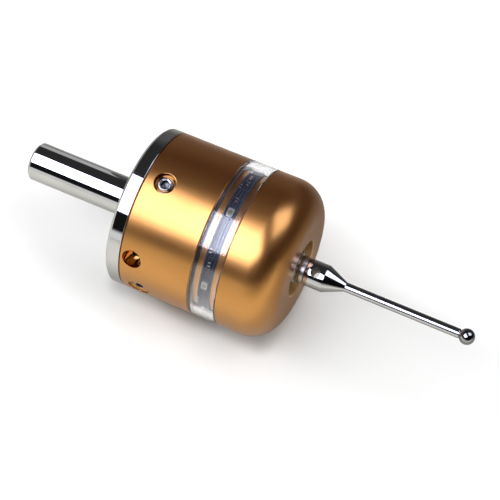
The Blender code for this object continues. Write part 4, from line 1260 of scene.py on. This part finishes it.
def soft_box(name, edges, turn, level, glossy):
    """A soft box overhead, seen either by glossy rays alone or by diffuse rays alone."""
    left, right, near, far = [edge * BOX_HEIGHT for edge in edges]
    angle = math.radians(turn)
    along = Vector((math.cos(angle), math.sin(angle), 0))
    across = Vector((-along.y, along.x, 0))
    centre = along * (left + right) / 2 + across * (near + far) / 2 + Vector((0, 0, BOX_HEIGHT))
    bpy.ops.object.select_all(action="DESELECT")
    bpy.ops.mesh.primitive_plane_add(size=1, location=centre, rotation=(0, 0, angle))
    bpy.context.object.scale = (right - left, far - near, 1)
    box = put_down(name)
    material = bpy.data.materials.new(name)
    material.use_nodes = True
    tree = material.node_tree
    tree.nodes.clear()
    colour = (1, 1, 1, 1)
    strength = level
    if glossy:
        colour = GLOSS_TINT
        path = add_node(tree, "ShaderNodeLightPath")
        strength = ranged(tree, path.outputs["Diffuse Depth"], 0.0, 1.0, level, 0.0)
    glow = add_node(tree, "ShaderNodeEmission", {"Color": colour, "Strength": strength})
    add_node(tree, "ShaderNodeOutputMaterial", {"Surface": glow.outputs[0]})
    box.data.materials.append(material)
    box.visible_camera = False
    box.visible_glossy = glossy
    box.visible_diffuse = not glossy
    box.visible_transmission = glossy
    box.visible_shadow = False


for name, edges, level in GLOSS_BOXES:
    soft_box(name, edges, ROW_TURN, level, True)
for index, (edges, level) in enumerate(MATT_BOXES):
    soft_box(f"matt_box_{index + 1}", edges, 0, level, False)


# Grey card
# A low card that stands behind the shank, seen only by polished surfaces.
CARD_WIDTH = 0.21
CARD_HEIGHT = 0.084
CARD_X = -0.195
CARD_Y = 0.15
CARD_LEVEL = 0.56
bpy.ops.object.select_all(action="DESELECT")
bpy.ops.mesh.primitive_plane_add(
    size=1, location=(CARD_X, CARD_Y, CARD_HEIGHT / 2), rotation=(math.pi / 2, 0, 0)
)
bpy.context.object.scale = (CARD_WIDTH, CARD_HEIGHT, 1)
card_behind = put_down("grey_card")
card_grey = bpy.data.materials.new("grey_card")
card_grey.use_nodes = True
tree = card_grey.node_tree
tree.nodes.clear()
glow = add_node(tree, "ShaderNodeEmission", {"Strength": CARD_LEVEL})
add_node(tree, "ShaderNodeOutputMaterial", {"Surface": glow.outputs[0]})
card_behind.data.materials.append(card_grey)
card_behind.visible_camera = False
card_behind.visible_diffuse = False
card_behind.visible_transmission = False
card_behind.visible_shadow = False


# Studio round the tool
# White for the camera, and through the clear ring. Polished surfaces see a dark room overhead, a
# pale band along the horizon on the camera's side and a faint one on the far side.
NEAR_SIDE = (0.1, -0.3)
NEAR_BAND = (0.24, 0.13)
NEAR_BAND_LEVEL = 0.9
FAR_BAND = (0.5, 0.05)
FAR_BAND_LEVEL = 0.08
ROOM_DEPTH = (-0.5, 0.0)
ROOM_LEVELS = (0.01, 0.034)
AHEAD = (0.0, 0.6)
AHEAD_SHARE = 0.35
world = bpy.data.worlds.new("studio")
bpy.context.scene.world = world
world.use_nodes = True
tree = world.node_tree
tree.nodes.clear()
place = add_node(tree, "ShaderNodeTexCoord")
apart = add_node(tree, "ShaderNodeSeparateXYZ", {0: place.outputs["Generated"]})
x, y, z = apart.outputs["X"], apart.outputs["Y"], apart.outputs["Z"]
near_side = ranged(tree, y, *NEAR_SIDE, eased=True)
far_side = computed(tree, "SUBTRACT", 1.0, near_side)
near_band = ranged(tree, z, *NEAR_BAND, 0.0, NEAR_BAND_LEVEL, eased=True)
far_band = ranged(tree, z, *FAR_BAND, 0.0, FAR_BAND_LEVEL, eased=True)
bands = computed(
    tree,
    "ADD",
    computed(tree, "MULTIPLY", near_band, near_side),
    computed(tree, "MULTIPLY", far_band, far_side),
)
dark_room = ranged(tree, y, *ROOM_DEPTH, *ROOM_LEVELS)
ahead = ranged(tree, x, *AHEAD, 1.0, AHEAD_SHARE, eased=True)
level = computed(tree, "MULTIPLY", computed(tree, "ADD", bands, dark_room), ahead)
room = add_node(tree, "ShaderNodeBackground", {"Color": (1, 1, 1, 1), "Strength": level})
white = add_node(tree, "ShaderNodeBackground", {"Color": (1, 1, 1, 1), "Strength": 1.0})
path = add_node(tree, "ShaderNodeLightPath")
bounces = computed(tree, "ADD", path.outputs["Diffuse Depth"], path.outputs["Glossy Depth"])
unbounced = computed(tree, "LESS_THAN", bounces, 0.5)
through = computed(tree, "MULTIPLY", path.outputs["Is Transmission Ray"], unbounced)
straight = computed(tree, "MAXIMUM", path.outputs["Is Camera Ray"], through)
choice = add_node(
    tree, "ShaderNodeMixShader", {0: straight, 1: room.outputs[0], 2: white.outputs[0]}
)
add_node(tree, "ShaderNodeOutputWorld", {"Surface": choice.outputs[0]})


# Camera
# A long lens from above, in front and a little to the right of the middle.
CAMERA_PLACE = (0.0853, -0.1770, 0.3454)
CAMERA_TURN = math.radians(25.576)
CAMERA_TILT = math.radians(58.935)
FOCAL_PIXELS = 1522.6
FRAME_PIXELS = 500
camera_data = bpy.data.cameras.new("camera")
camera = bpy.data.objects.new("camera", camera_data)
bpy.context.scene.collection.objects.link(camera)
camera_data.sensor_width = 36
camera_data.lens = camera_data.sensor_width * FOCAL_PIXELS / FRAME_PIXELS
camera_data.clip_start = 0.01
camera_data.clip_end = 20
camera.location = CAMERA_PLACE
camera.rotation_euler = (math.pi / 2 - CAMERA_TILT, 0, CAMERA_TURN)
bpy.context.scene.camera = camera
bpy.context.scene.view_settings.view_transform = "Standard"
